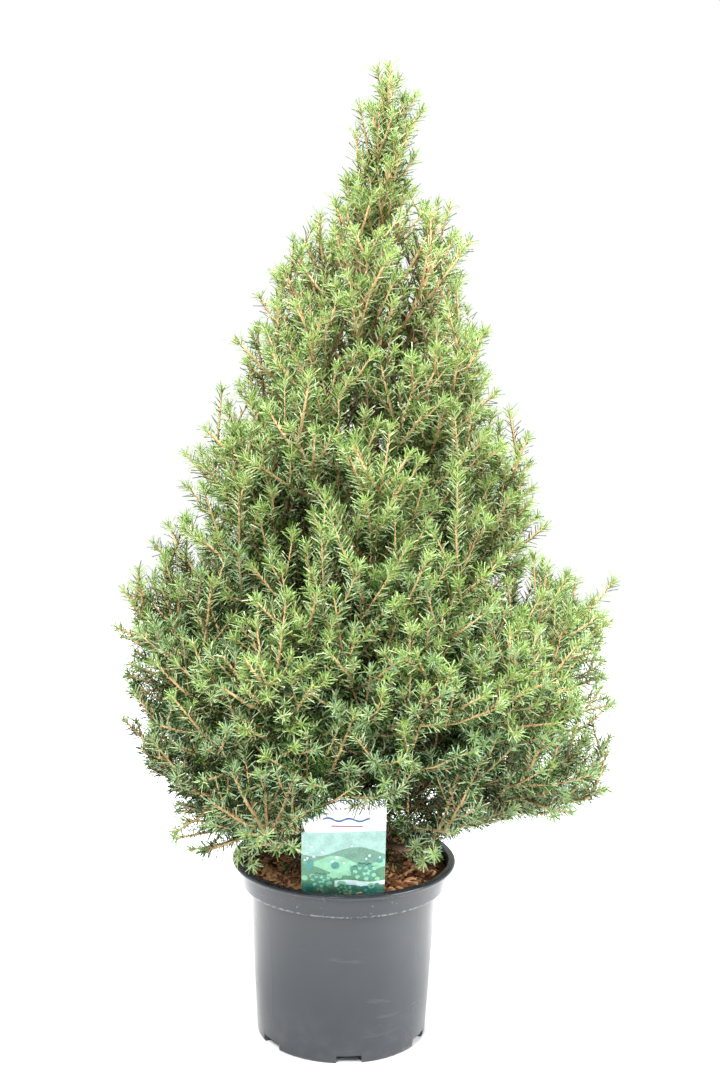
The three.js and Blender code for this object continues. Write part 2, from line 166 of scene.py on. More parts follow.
def make_piece(name: str, surface: Surface, finish: Material, smooth: bool = True
               ) -> Object:
    """Turns a surface into a piece that rides on the plant's one body.

    Args:
        name: the piece's name.
        surface: its points in millimetres and its faces.
        finish: its material.
        smooth: whether its faces are shaded smooth.

    Returns:
        The new object, at the origin.
    """
    mesh = bpy.data.meshes.new(name)
    sizes = np.concatenate([np.full(len(group), group.shape[1]) for group in surface.faces])
    corners = np.concatenate([group.ravel() for group in surface.faces]).astype(np.int32)
    mesh.vertices.add(len(surface.points))
    mesh.vertices.foreach_set("co", (surface.points * MM).astype(np.float32).ravel())
    mesh.loops.add(len(corners))
    mesh.loops.foreach_set("vertex_index", corners)
    mesh.polygons.add(len(sizes))
    mesh.polygons.foreach_set("loop_start", (np.cumsum(sizes) - sizes).astype(np.int32))
    mesh.polygons.foreach_set("use_smooth", np.full(len(sizes), smooth))
    mesh.update(calc_edges=True)
    mesh.materials.append(finish)
    piece = new_object(name, mesh)
    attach(piece, "root")
    log.info("%s: %d triangles", name, surface.triangles())
    return piece


def tube_faces(rings: int, sides: int) -> list[Array]:
    """Faces of a tube of rings whose points run anticlockwise seen from its far end, with flat caps.

    Args:
        rings: how many rings.
        sides: how many points each ring has.

    Returns:
        The wall's quads and the two caps.
    """
    ring, side = np.meshgrid(np.arange(rings - 1), np.arange(sides), indexing="ij")
    here = ring * sides + side
    beside = ring * sides + (side + 1) % sides
    wall = np.stack([here, beside, beside + sides, here + sides], axis=-1).reshape(-1, 4)
    first = np.arange(sides)[::-1][None]
    last = (np.arange(sides) + (rings - 1) * sides)[None]
    return [wall, first, last]


def many(template: list[Array], count: int, points_each: int) -> list[Array]:
    """Repeats the faces of one copy for many copies, each with its own block of points."""
    offsets = np.arange(count)[:, None, None] * points_each
    return [(group[None] + offsets).reshape(-1, group.shape[1]) for group in template]


def turned_profile(radius: Array, height: Array, angles: Array) -> Surface:
    """A closed surface of a profile turned about the upright axis.

    A point is (radius cos angle, radius sin angle, height). The profile starts and ends on the axis and
    runs with the solid on its left, so that its faces point out.

    Args:
        radius: radii of the profile, one row for each angle.
        height: heights of the profile, one row for each angle.
        angles: the angles, rising, over a full turn.

    Returns:
        The surface, with one point at each pole.
    """
    count, steps = radius.shape
    inner_radius, inner_height = radius[:, 1:-1], height[:, 1:-1]
    x = inner_radius * np.cos(angles)[:, None]
    y = inner_radius * np.sin(angles)[:, None]
    rim = np.stack([x, y, inner_height], axis=-1).reshape(-1, 3)
    poles = np.array([[0, 0, height[0, 0]], [0, 0, height[0, -1]]])
    row = steps - 2
    column, step = np.meshgrid(np.arange(count), np.arange(row - 1), indexing="ij")
    here = column * row + step
    beside = ((column + 1) % count) * row + step
    wall = np.stack([here, beside, beside + 1, here + 1], axis=-1).reshape(-1, 4)
    start = np.arange(count) * row
    ahead = (np.arange(count) + 1) % count * row
    bottom = np.stack([ahead, start, np.full(count, len(rim))], axis=-1)
    top = np.stack([start + row - 1, ahead + row - 1, np.full(count, len(rim) + 1)], axis=-1)
    return Surface(np.concatenate([rim, poles]), [wall, bottom, top])


# Materials


class Graph:
    """A node tree with short calls that add and link nodes."""

    def __init__(self, tree: NodeTree) -> None:
        """Keeps the tree and clears it."""
        self.tree = tree
        tree.nodes.clear()

    def feed(self, node: Node, inputs: dict) -> None:
        """Sets or links a node's inputs.

        Args:
            node: the node.
            inputs: values or output sockets for its inputs, by name or number.
        """
        for name, value in inputs.items():
            if isinstance(value, Socket):
                self.tree.links.new(value, node.inputs[name])
            else:
                node.inputs[name].default_value = value

    def node(self, kind: str, inputs: dict | None = None, **settings: object) -> Node:
        """Adds a node.

        Args:
            kind: Blender's name of the node.
            inputs: what feeds its inputs.
            settings: values of the node's own options.

        Returns:
            The new node.
        """
        node = self.tree.nodes.new(kind)
        for name, value in settings.items():
            setattr(node, name, value)
        self.feed(node, inputs or {})
        return node

    def maths(self, operation: str, first: object, second: object) -> Socket:
        """One step of arithmetic on two numbers or sockets, as its output socket."""
        return self.node("ShaderNodeMath", {0: first, 1: second}, operation=operation).outputs[0]

    def ramp(self, value: object, low: float, high: float, first: float = 0.0, last: float = 1.0) -> Socket:
        """A clamped smooth rise from first to last while value goes from low to high."""
        inputs = {0: value, 1: low, 2: high, 3: first, 4: last}
        return self.node("ShaderNodeMapRange", inputs, interpolation_type="SMOOTHSTEP").outputs[0]

    def blend(self, share: object, first: object, second: object) -> Socket:
        """A mix of two colours by a share, as its output socket."""
        return self.node("ShaderNodeMix", {0: share, 6: first, 7: second}, data_type="RGBA").outputs[2]

    def noise(self, place: object, scale: object, detail: float = 3.0) -> Socket:
        """Noise at a place, as a value near 0.5."""
        inputs = {"Vector": place, "Scale": scale, "Detail": detail}
        return self.node("ShaderNodeTexNoise", inputs).outputs[0]

    def height(self, place: object) -> Socket:
        """The third number of a place or direction."""
        return self.node("ShaderNodeSeparateXYZ", {0: place}).outputs[2]

    def drawn_out(self, place: object, operation: str, factor: object) -> Socket:
        """A place whose height is multiplied or divided by a factor.

        Args:
            place: the place.
            operation: MULTIPLY or DIVIDE.
            factor: the factor.

        Returns:
            The new place's socket.
        """
        axes = self.node("ShaderNodeSeparateXYZ", {0: place}).outputs
        height = self.maths(operation, axes[2], factor)
        return self.node("ShaderNodeCombineXYZ", {0: axes[0], 1: axes[1], 2: height}).outputs[0]

    def bump(self, height: Socket, strength: float, depth: float) -> Socket:
        """Normals of a relief with a strength and a depth in metres."""
        inputs = {"Strength": strength, "Distance": depth, "Height": height}
        return self.node("ShaderNodeBump", inputs).outputs[0]


def opaque(color: Color) -> Numbers:
    """A colour with full opacity."""
    return (*color, 1.0)


class Effect(Enum):
    """Effects that several materials share: the name of each node group, its inputs and its output."""

    PATCHES = ("color_patches", ("Color", "Other", "Scale", "Amount", "Place"), "Color")
    GRAIN = ("fine_grain", ("Scale", "Stretch", "Place"), "Height")
    SCUFFS = ("scuff_marks", ("Scale", "Flatten", "Threshold", "Place"), "Mask")
    DUST = ("dust_film", ("Foot", "Top", "Amount", "Place"), "Mask")


@dataclass
class Effects:
    """Builds each shared node group when it is first asked for."""

    patch_edges: Span = (0.34, 0.66)
    grain_detail: float = 5.0
    scuff_detail: float = 4.0
    scuff_fade: Span = (0.0, 0.14)
    scuff_place_scale: float = 17.0
    scuff_places: Span = (0.5, 0.62)
    dust_facing: Ramp = (0.3, 1.0, 0.0, 0.6)
    dust_scale: float = 60.0
    dust_detail: float = 6.0
    dust_breaks: Span = (0.4, 0.7)
    built: dict[Effect, NodeTree] = field(default_factory=dict)

    def place(self, graph: Graph, effect: Effect, inputs: dict) -> Socket:
        """Puts an effect's group into a material.

        Args:
            graph: the material's graph.
            effect: which effect.
            inputs: values or sockets for the group's named inputs.

        Returns:
            The group's output socket.
        """
        if effect not in self.built:
            self.built[effect] = self.group(effect)
        return graph.node("ShaderNodeGroup", inputs, node_tree=self.built[effect]).outputs[0]

    def group(self, effect: Effect) -> NodeTree:
        """Builds an effect's group: its named sockets, and between them what the effect's method adds.

        Args:
            effect: which effect.

        Returns:
            The group.
        """
        name, inputs, output = effect.value
        kinds = {"Color": "NodeSocketColor", "Other": "NodeSocketColor", "Place": "NodeSocketVector"}
        tree = bpy.data.node_groups.new(name, "ShaderNodeTree")
        for way, sockets in (("INPUT", inputs), ("OUTPUT", (output,))):
            for socket in sockets:
                kind = kinds.get(socket, "NodeSocketFloat")
                tree.interface.new_socket(socket, in_out=way, socket_type=kind)
        makers = {Effect.PATCHES: self.patches, Effect.GRAIN: self.grain, Effect.SCUFFS: self.scuffs,
                  Effect.DUST: self.dust}
        graph = Graph(tree)
        graph.node("NodeGroupOutput", {output: makers[effect](graph, graph.node("NodeGroupInput").outputs)})
        return tree

    def patches(self, graph: Graph, taken: NodeOutputs) -> Socket:
        """Colour that drifts between two shades: a mix of them by soft noise times an amount.

        Args:
            graph: the group's graph.
            taken: the group's inputs.

        Returns:
            The colour.
        """
        drift = graph.ramp(graph.noise(taken["Place"], taken["Scale"]), *self.patch_edges)
        share = graph.maths("MULTIPLY", drift, taken["Amount"])
        return graph.blend(share, taken["Color"], taken["Other"])

    def grain(self, graph: Graph, taken: NodeOutputs) -> Socket:
        """Height of a fine moulded or fibrous grain: noise on a place stretched by a factor along Z."""
        place = graph.drawn_out(taken["Place"], "DIVIDE", taken["Stretch"])
        return graph.noise(place, taken["Scale"], self.grain_detail)

    def scuffs(self, graph: Graph, taken: NodeOutputs) -> Socket:
        """Mask of thin level scuff marks: stretched noise above a threshold, broken up by wide noise.

        Args:
            graph: the group's graph.
            taken: the group's inputs.

        Returns:
            The mask.
        """
        place = graph.drawn_out(taken["Place"], "MULTIPLY", taken["Flatten"])
        marks = graph.noise(place, taken["Scale"], self.scuff_detail)
        thin = graph.ramp(graph.maths("SUBTRACT", marks, taken["Threshold"]), *self.scuff_fade)
        where = graph.ramp(graph.noise(taken["Place"], self.scuff_place_scale, 1.0), *self.scuff_places)
        return graph.maths("MULTIPLY", thin, where)

    def dust(self, graph: Graph, taken: NodeOutputs) -> Socket:
        """Mask of dust: more on faces that look up and near the foot, broken up by noise.

        Args:
            graph: the group's graph.
            taken: the group's inputs.

        Returns:
            The mask.
        """
        normal = graph.node("ShaderNodeNewGeometry").outputs["Normal"]
        upward = graph.ramp(graph.height(normal), *self.dust_facing)
        inputs = {0: graph.height(taken["Place"]), 1: taken["Foot"], 2: taken["Top"], 3: 1.0, 4: 0.0}
        low = graph.node("ShaderNodeMapRange", inputs).outputs[0]
        noise = graph.noise(taken["Place"], self.dust_scale, self.dust_detail)
        broken = graph.ramp(noise, *self.dust_breaks)
        share = graph.maths("MULTIPLY", graph.maths("MAXIMUM", upward, low), broken)
        return graph.maths("MULTIPLY", share, taken["Amount"])


EFFECTS = Effects()


def new_material(name: str) -> tuple[Material, Graph, Socket, Node]:
    """Starts a material.

    Args:
        name: its name.

    Returns:
        The material, its graph, the Object coordinates and the Principled shader.
    """
    material = bpy.data.materials.new(name)
    material.use_nodes = True
    graph = Graph(material.node_tree)
    shader = graph.node("ShaderNodeBsdfPrincipled")
    graph.node("ShaderNodeOutputMaterial", {"Surface": shader.outputs[0]})
    return material, graph, graph.node("ShaderNodeTexCoord").outputs["Object"], shader


@dataclass(frozen=True)
class GrownFinish:
    """Finish of needles, shoots, bark, chips and print: two shades in patches over a fine grain."""

    name: str
    color: Color
    other: Color
    patch_scale: float
    roughness: float
    grain_scale: float
    specular: float = 0.5
    grain_stretch: float = 1.0
    grain_edges: Span = (0.3, 0.7)
    grain_shine: float = 0.08
    relief: float = 0.0
    relief_depth: float = 0.0

    def build(self) -> Material:
        """Makes the material: patches feed the colour, grain feeds the roughness and the relief.

        Returns:
            The material.
        """
        material, graph, place, shader = new_material(self.name)
        grain = EFFECTS.place(graph, Effect.GRAIN, {
            "Scale": self.grain_scale, "Stretch": self.grain_stretch, "Place": place,
        })
        graph.feed(shader, {
            "Base Color": EFFECTS.place(graph, Effect.PATCHES, {
                "Color": opaque(self.color), "Other": opaque(self.other), "Scale": self.patch_scale,
                "Amount": 1.0, "Place": place,
            }),
            "Roughness": graph.ramp(grain, *self.grain_edges, self.roughness - self.grain_shine,
                                    self.roughness + self.grain_shine),
            "Specular IOR Level": self.specular,
        })
        if self.relief > 0:
            graph.feed(shader, {"Normal": graph.bump(grain, self.relief, self.relief_depth)})
        return material


@dataclass(frozen=True)
class MouldedPlastic:
    """Finish of the pot: satin plastic with a faint grain, pale scuffs, wear, and dust near the foot.

    Under the collar a broken pale line is partly wear and partly a painted highlight on the collar's edge.
    """

    name: str = "moulded_pot_plastic"
    color: Color = (0.024, 0.028, 0.034)
    other: Color = (0.032, 0.037, 0.045)
    patch_scale: float = 9.0
    patch_amount: float = 0.8
    scuff: Color = (0.07, 0.077, 0.09)
    scuff_scale: float = 17.0
    scuff_flatten: float = 7.0
    scuff_threshold: float = 0.58
    scuff_share: float = 0.36
    scuff_roughness: float = 0.1
    dust: Color = (0.22, 0.21, 0.19)
    dust_foot: float = 0.0
    dust_top: float = 0.05
    dust_amount: float = 0.1
    dust_roughness: float = 0.3
    wear_and_highlight: Color = (0.2, 0.21, 0.22)
    edge_line_height: float = 0.1556
    edge_line_width: Ramp = (0.0005, 0.0013, 1.0, 0.0)
    edge_line_scale: float = 260.0
    edge_line_breaks: Ramp = (0.42, 0.6, 0.05, 0.75)
    speck_scale: float = 330.0
    specks: Ramp = (0.68, 0.72, 0.0, 0.55)
    collar_height: float = 0.157
    collar_fade: float = 0.004
    roughness: Ramp = (0.2, 0.8, 0.18, 0.28)
    roughness_scale: float = 11.0
    grain_scale: float = 700.0
    relief: float = 0.12
    relief_depth: float = 0.0003

    def build(self) -> Material:
        """Makes the material: patches, then scuffs, then dust, then wear with a painted highlight, each
        over the one before.

        Returns:
            The material.
        """
        material, graph, place, shader = new_material(self.name)
        patches = EFFECTS.place(graph, Effect.PATCHES, {
            "Color": opaque(self.color), "Other": opaque(self.other), "Scale": self.patch_scale,
            "Amount": self.patch_amount, "Place": place,
        })
        scuffs = EFFECTS.place(graph, Effect.SCUFFS, {
            "Scale": self.scuff_scale, "Flatten": self.scuff_flatten, "Threshold": self.scuff_threshold,
            "Place": place,
        })
        dust = EFFECTS.place(graph, Effect.DUST, {
            "Foot": self.dust_foot, "Top": self.dust_top, "Amount": self.dust_amount, "Place": place,
        })
        grain = EFFECTS.place(graph, Effect.GRAIN, {
            "Scale": self.grain_scale, "Stretch": 1.0, "Place": place,
        })
        faint = graph.maths("MULTIPLY", scuffs, self.scuff_share)
        scuffed = graph.blend(faint, patches, opaque(self.scuff))
        dusty = graph.blend(dust, scuffed, opaque(self.dust))
        satin = graph.ramp(graph.noise(place, self.roughness_scale, 1.0), *self.roughness)
        rubbed = graph.maths("ADD", satin, graph.maths("MULTIPLY", scuffs, self.scuff_roughness))
        # Wear and painted highlight: a broken pale line under the collar, partly a painted highlight on its
        # edge, and sparse wear specks on the collar
        height = graph.height(place)
        off = graph.maths("ABSOLUTE", graph.maths("SUBTRACT", height, self.edge_line_height), 0.0)
        broken = graph.ramp(graph.noise(place, self.edge_line_scale), *self.edge_line_breaks)
        specks = graph.ramp(graph.noise(place, self.speck_scale, 2.0), *self.specks)
        on_collar = graph.ramp(height, self.collar_height, self.collar_height + self.collar_fade)
        line = graph.maths("MULTIPLY", graph.ramp(off, *self.edge_line_width), broken)
        wear_and_highlight = graph.maths("MAXIMUM", line, graph.maths("MULTIPLY", specks, on_collar))
        graph.feed(shader, {
            "Base Color": graph.blend(wear_and_highlight, dusty, opaque(self.wear_and_highlight)),
            "Roughness": graph.maths("ADD", rubbed, graph.maths("MULTIPLY", dust, self.dust_roughness)),
            "Normal": graph.bump(grain, self.relief, self.relief_depth),
        })
        return material


# The pot, its growing medium and the card


@dataclass
class Pot:
    """The round nursery pot: a thin wall with a collar, a rolled lip, a floor and notches at the foot."""

    height: float = 180.0
    lip_radius: float = 110.0
    lip_depth: float = 5.2
    lip_steps: int = 11
    collar_top: float = 104.0
    collar_foot: float = 101.0
    collar_foot_height: float = 156.5
    collar_steps: int = 6
    under_lip: float = 0.8
    flare_out: float = 4.0
    flare_up: float = 2.0
    flare_steps: int = 9
    body_top: float = 92.0
    body_top_height: float = 151.0
    body_steps: int = 26
    first_body_step: float = 0.02
    base_radius: float = 84.0
    rounding: float = 3.0
    rounding_steps: int = 5
    wall: float = 1.8
    floor: float = 3.0
    floor_rounding: float = 1.0
    inner_collar_steps: int = 6
    inner_body_steps: int = 16
    rim_drop: float = 2.0
    rim_bevel: float = 1.2
    notches: int = 6
    first_notch: float = 36.0
    notch_width: float = 25.0
    notch_height: float = 8.0
    notch_radius: float = 70.0
    notch_step: float = 0.2
    notch_edge: float = 0.004
    notch_room: float = 0.012
    columns: int = 180
    crease_angle: float = 50.0

    def inner_radius(self, height: Number) -> Array:
        """Radius of the wall's inner face at a height, by straight runs between its corners.

        Args:
            height: one height or many.

        Returns:
            The radius at each.
        """
        heights = [self.floor, self.body_top_height + self.wall, self.collar_foot_height + self.wall,
                   self.height]
        radii = [self.base_radius, self.body_top, self.collar_foot, self.collar_top]
        return np.interp(height, heights, [radius - self.wall for radius in radii])

    def outer_section(self) -> Array:
        """The outer face from the axis up to the lip's top: straight runs, a cubic flare and round edges.

        Returns:
            Rows of radius and height.
        """
        pocket, step = self.notch_radius, self.notch_step
        low = np.array([[0, 0], [pocket / 2, 0], [pocket - step, 0], [pocket + step, 0]])
        quarter = np.linspace(0, math.pi / 2, self.rounding_steps)[:, None]
        foot = np.array([[self.base_radius - self.rounding, self.rounding]]) + self.rounding * np.hstack(
            [np.sin(quarter), -np.cos(quarter)])
        body = mix(np.array([[self.base_radius, self.rounding]]),
                   np.array([[self.body_top, self.body_top_height]]),
                   np.linspace(self.first_body_step, 1, self.body_steps)[:, None])
        bend_height = self.body_top_height + self.flare_up
        corners = np.array([
            [self.body_top, self.body_top_height], [self.body_top + self.flare_out, bend_height],
            [self.collar_foot, bend_height], [self.collar_foot, self.collar_foot_height],
        ])
        turn = np.linspace(0, 1, self.flare_steps)[1:, None]
        flare = ((1 - turn) ** 3 * corners[0] + 3 * turn * (1 - turn) ** 2 * corners[1]
                 + 3 * turn ** 2 * (1 - turn) * corners[2] + turn ** 3 * corners[3])
        under = self.height - self.lip_depth
        collar = mix(corners[3][None], np.array([[self.collar_top, under - self.under_lip]]),
                     np.linspace(0, 1, self.collar_steps)[1:, None])
        half = self.lip_depth / 2
        round_lip = np.linspace(-math.pi / 2, math.pi / 2, self.lip_steps)[:, None]
        lip = np.array([[self.lip_radius - half, under + half]]) + half * np.hstack(
            [np.cos(round_lip), np.sin(round_lip)])
        return np.vstack([low, foot, body, flare, collar, [[self.collar_top + self.under_lip, under]], lip])

    def inner_section(self) -> Array:
        """The inner face from the rim down to the axis.

        Returns:
            Rows of radius and height.
        """
        heights = np.concatenate([
            np.linspace(self.height - self.rim_drop, self.collar_foot_height + self.wall,
                        self.inner_collar_steps),
            np.linspace(self.body_top_height + self.wall, self.floor + self.floor_rounding / 2,
                        self.inner_body_steps),
        ])
        wall = np.stack([self.inner_radius(heights), heights], axis=-1)
        pocket, step = self.notch_radius - self.wall, self.notch_step
        radii = [self.base_radius - self.wall - self.floor_rounding, pocket + step, pocket - step,
                 pocket / 2, 0]
        rim = [[self.collar_top - self.wall + self.rim_bevel, self.height]]
        return np.vstack([rim, wall, [[radius, self.floor] for radius in radii]])

    def notch_half(self) -> float:
        """Half the angle that a notch takes up."""
        return math.asin(self.notch_width / 2 / self.base_radius)

    def angles(self) -> Array:
        """Even angles round the pot, with two more close together at each edge of each notch.

        Returns:
            The angles, rising.
        """
        middles = np.radians(self.first_notch + np.arange(self.notches) * 360 / self.notches)
        half, edge = self.notch_half(), self.notch_edge
        edges = np.array([-half - edge, -half + edge, half - edge, half + edge])
        even = even_angles(self.columns)
        away = np.abs(self.from_notch(even) - half) > self.notch_room
        return np.sort(np.concatenate([even[away], ((middles[:, None] + edges) % FULL_TURN).ravel()]))

    def from_notch(self, angles: Array) -> Array:
        """How far each angle is from the middle of the nearest notch."""
        off = (angles - math.radians(self.first_notch)) % (FULL_TURN / self.notches)
        return np.minimum(off, FULL_TURN / self.notches - off)

    def surface(self) -> Surface:
        """The pot's mesh: its section turned about the axis, with the foot lifted within each notch.

        Outside the pocket's radius each height z becomes z + m (max(z, lift) - z), where m is 1 within a
        notch and 0 elsewhere.

        Returns:
            The closed surface.
        """
        outer, inner = self.outer_section(), self.inner_section()
        lift = np.concatenate([
            np.where(outer[:, 0] > self.notch_radius, self.notch_height, 0.0),
            np.where(inner[:, 0] > self.notch_radius - self.wall, self.notch_height + self.wall, 0.0),
        ])
        section = np.vstack([outer, inner])
        angles = self.angles()
        inside = (self.from_notch(angles) < self.notch_half()).astype(float)[:, None]
        heights = section[:, 1] + inside * (np.maximum(section[:, 1], lift) - section[:, 1])
        return turned_profile(np.broadcast_to(section[:, 0], heights.shape), heights, angles)

    def build(self) -> Object:
        """Makes the pot and dresses it.

        Returns:
            The piece.
        """
        piece = make_piece("nursery_pot", self.surface(), MouldedPlastic().build())
        piece.data.set_sharp_from_angle(angle=math.radians(self.crease_angle))
        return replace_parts(piece, "pot")


class ChipTone(Enum):
    """Tones of the bark chips: two shades, and the share of the chips."""

    DARK = ((0.1, 0.045, 0.024), (0.16, 0.075, 0.038), 0.2)
    RED = ((0.36, 0.15, 0.065), (0.24, 0.1, 0.045), 0.42)
    TAN = ((0.74, 0.46, 0.24), (0.58, 0.31, 0.14), 0.38)


@dataclass
class GrowingMedium:
    """Bark chips and fibres heaped over a dark filling that stands in the pot."""

    pot: Pot
    level: float = 168.0
    front_rise: float = 6.0
    edge_rise: float = 2.0
    flat_radius: float = 26.0
    bump: float = 1.8
    clearance: float = 0.5
    wall_steps: int = 12
    rings: int = 34
    columns: int = 120
    chips: int = 2300
    chip_corners: int = 5
    chip_length: Span = (6.0, 24.0)
    chip_shortening: Span = (0.55, 1.0)
    chip_slimness: Span = (0.14, 0.42)
    chip_widest: float = 5.0
    chip_thickness: Span = (0.9, 2.4)
    corner_shift: float = 0.3
    corner_jitter: Span = (0.75, 1.15)
    upper_face: float = 0.82
    chip_tilt: float = 0.33
    chip_rise: Span = (-0.2, 2.2)
    wall_room: float = 1.5
    trunk_radius: float = 15.0
    seed: int = 11

    def top(self, x: Array, y: Array) -> Array:
        """Height of the heaps: a level plus a rise to the edge and the front, and crossed sine waves.

        Args:
            x: places to the right.
            y: places to the back.

        Returns:
            The height at each.
        """
        out = smooth_step(np.hypot(x, y), self.flat_radius, self.pot.body_top)
        heaps = np.sin(x / 9 + 1.2) * np.cos(y / 11) + np.sin((x + 2 * y) / 13)
        front = self.front_rise * np.maximum(0, -y) / self.pot.body_top
        return self.level + out * (self.edge_rise + front + self.bump * heaps * 0.5)

    def lumps(self, x: Array, y: Array) -> Array:
        """Small lumps of the filling between the chips: three sine waves of 5 to 9 mm."""
        return (0.5 * np.sin(x * 0.9 + 2 * np.sin(y * 0.31)) * np.sin(y * 1.1)
                + 0.4 * np.sin(x * 0.7 - y * 0.8 + 1.0))

    def filling(self) -> Surface:
        """The filling: a closed profile turned about the axis, whose top follows the heaps.

        Returns:
            The closed surface.
        """
        bottom = self.pot.notch_height + self.pot.wall + self.clearance
        wall = np.linspace(bottom, self.level - 1, self.wall_steps)
        edge = self.pot.inner_radius(self.level) - self.clearance
        radii = np.concatenate([
            [0], self.pot.inner_radius(wall) - self.clearance, np.linspace(edge, 0, self.rings)])
        heights = np.concatenate([[bottom], wall, np.zeros(self.rings)])
        angles = even_angles(self.columns)
        radius = np.broadcast_to(radii, (self.columns, len(radii)))
        x, y = radius * np.cos(angles)[:, None], radius * np.sin(angles)[:, None]
        on_top = np.arange(len(radii)) > len(wall)
        height = np.where(on_top, self.top(x, y) + self.lumps(x, y), heights)
        return turned_profile(radius, height, angles)

    def flakes(self, draw: np.random.Generator, count: int) -> Surface:
        """Flat chips: each a prism of jittered corners, turned, tilted and dropped on the heaps.

        A corner is at (length/2 cos a, width/2 sin a) times a jitter, and the upper face is smaller.

        Args:
            draw: the seeded draws.
            count: how many chips.

        Returns:
            The closed surfaces.
        """
        corners = self.chip_corners
        length = draw.uniform(*self.chip_length, count) * draw.uniform(*self.chip_shortening, count)
        width = np.minimum(length * draw.uniform(*self.chip_slimness, count), self.chip_widest)
        thick = draw.uniform(*self.chip_thickness, count)
        reach = self.pot.inner_radius(self.level) - self.wall_room - length / 2
        radius = np.sqrt(draw.uniform((self.trunk_radius / reach) ** 2, 1.0)) * reach
        bearing = draw.uniform(0, FULL_TURN, count)
        x, y = radius * np.cos(bearing), radius * np.sin(bearing)
        shift = draw.uniform(-self.corner_shift, self.corner_shift, (count, corners))
        around = even_angles(corners) + shift
        jitter = draw.uniform(*self.corner_jitter, (count, 2, corners))
        shrink = np.array([1.0, self.upper_face])[None, :, None]
        along = length[:, None, None] / 2 * np.cos(around)[:, None] * jitter * shrink
        across = width[:, None, None] / 2 * np.sin(around)[:, None] * jitter * shrink
        up = (thick[:, None] * np.array([-0.5, 0.5]))[..., None]
        heading = draw.uniform(0, FULL_TURN, (count, 1, 1))
        tilt = draw.normal(0, self.chip_tilt, (count, 1, 1))
        along, up = spin(along, up, tilt)
        across, up = spin(across, up, -tilt)
        along, across = spin(along, across, heading)
        placed = np.stack([along, across, up], axis=-1)
        centre = np.stack([x, y, self.top(x, y) + draw.uniform(*self.chip_rise, count)], axis=-1)
        points = (placed + centre[:, None, None]).reshape(-1, 3)
        return Surface(points, many(tube_faces(2, corners), count, 2 * corners))

    def build(self) -> list[Object]:
        """Makes the filling and the chips in three tones.

        Returns:
            The pieces.
        """
        dark, brown, _ = ChipTone.DARK.value
        peat = GrownFinish("moist_peat", dark, brown, patch_scale=180.0, roughness=0.9, specular=0.25,
                           grain_scale=1400.0, relief=0.8, relief_depth=0.001)
        filling = make_piece("peat_filling", self.filling(), peat.build())
        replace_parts(filling, "growing_medium")
        pieces = [filling]
        draw = np.random.default_rng(self.seed)
        for tone in ChipTone:
            color, other, share = tone.value
            name = f"bark_chips_{tone.name.lower()}"
            finish = GrownFinish(name, color, other, patch_scale=260.0, roughness=0.8, specular=0.3,
                                 grain_scale=1500.0, relief=0.6, relief_depth=0.0005)
            surface = self.flakes(draw, int(self.chips * share))
            pieces.append(make_piece(name, surface, finish.build(), smooth=False))
        return pieces


class Ink(Enum):
    """Colours printed on the card."""

    WHITE = (0.82, 0.83, 0.84)
    SKY = (0.3, 0.5, 0.45)
    HAZE = (0.11, 0.26, 0.19)
    HILL = (0.07, 0.22, 0.12)
    TEAL = (0.04, 0.24, 0.21)
    MINT = (0.22, 0.5, 0.33)
    POND = (0.6, 0.8, 0.8)
    BLUE = (0.06, 0.16, 0.36)
    PINK = (0.62, 0.2, 0.3)


Edge = Callable[[Array], Array]


def wave(height: float, swing: float = 0.0, pitch: float = 1.0, shift: float = 0.0) -> Edge:
    """An edge at height + swing sin(x / pitch + shift), which is level without a swing."""
    return lambda at: height + swing * np.sin(at / pitch + shift)


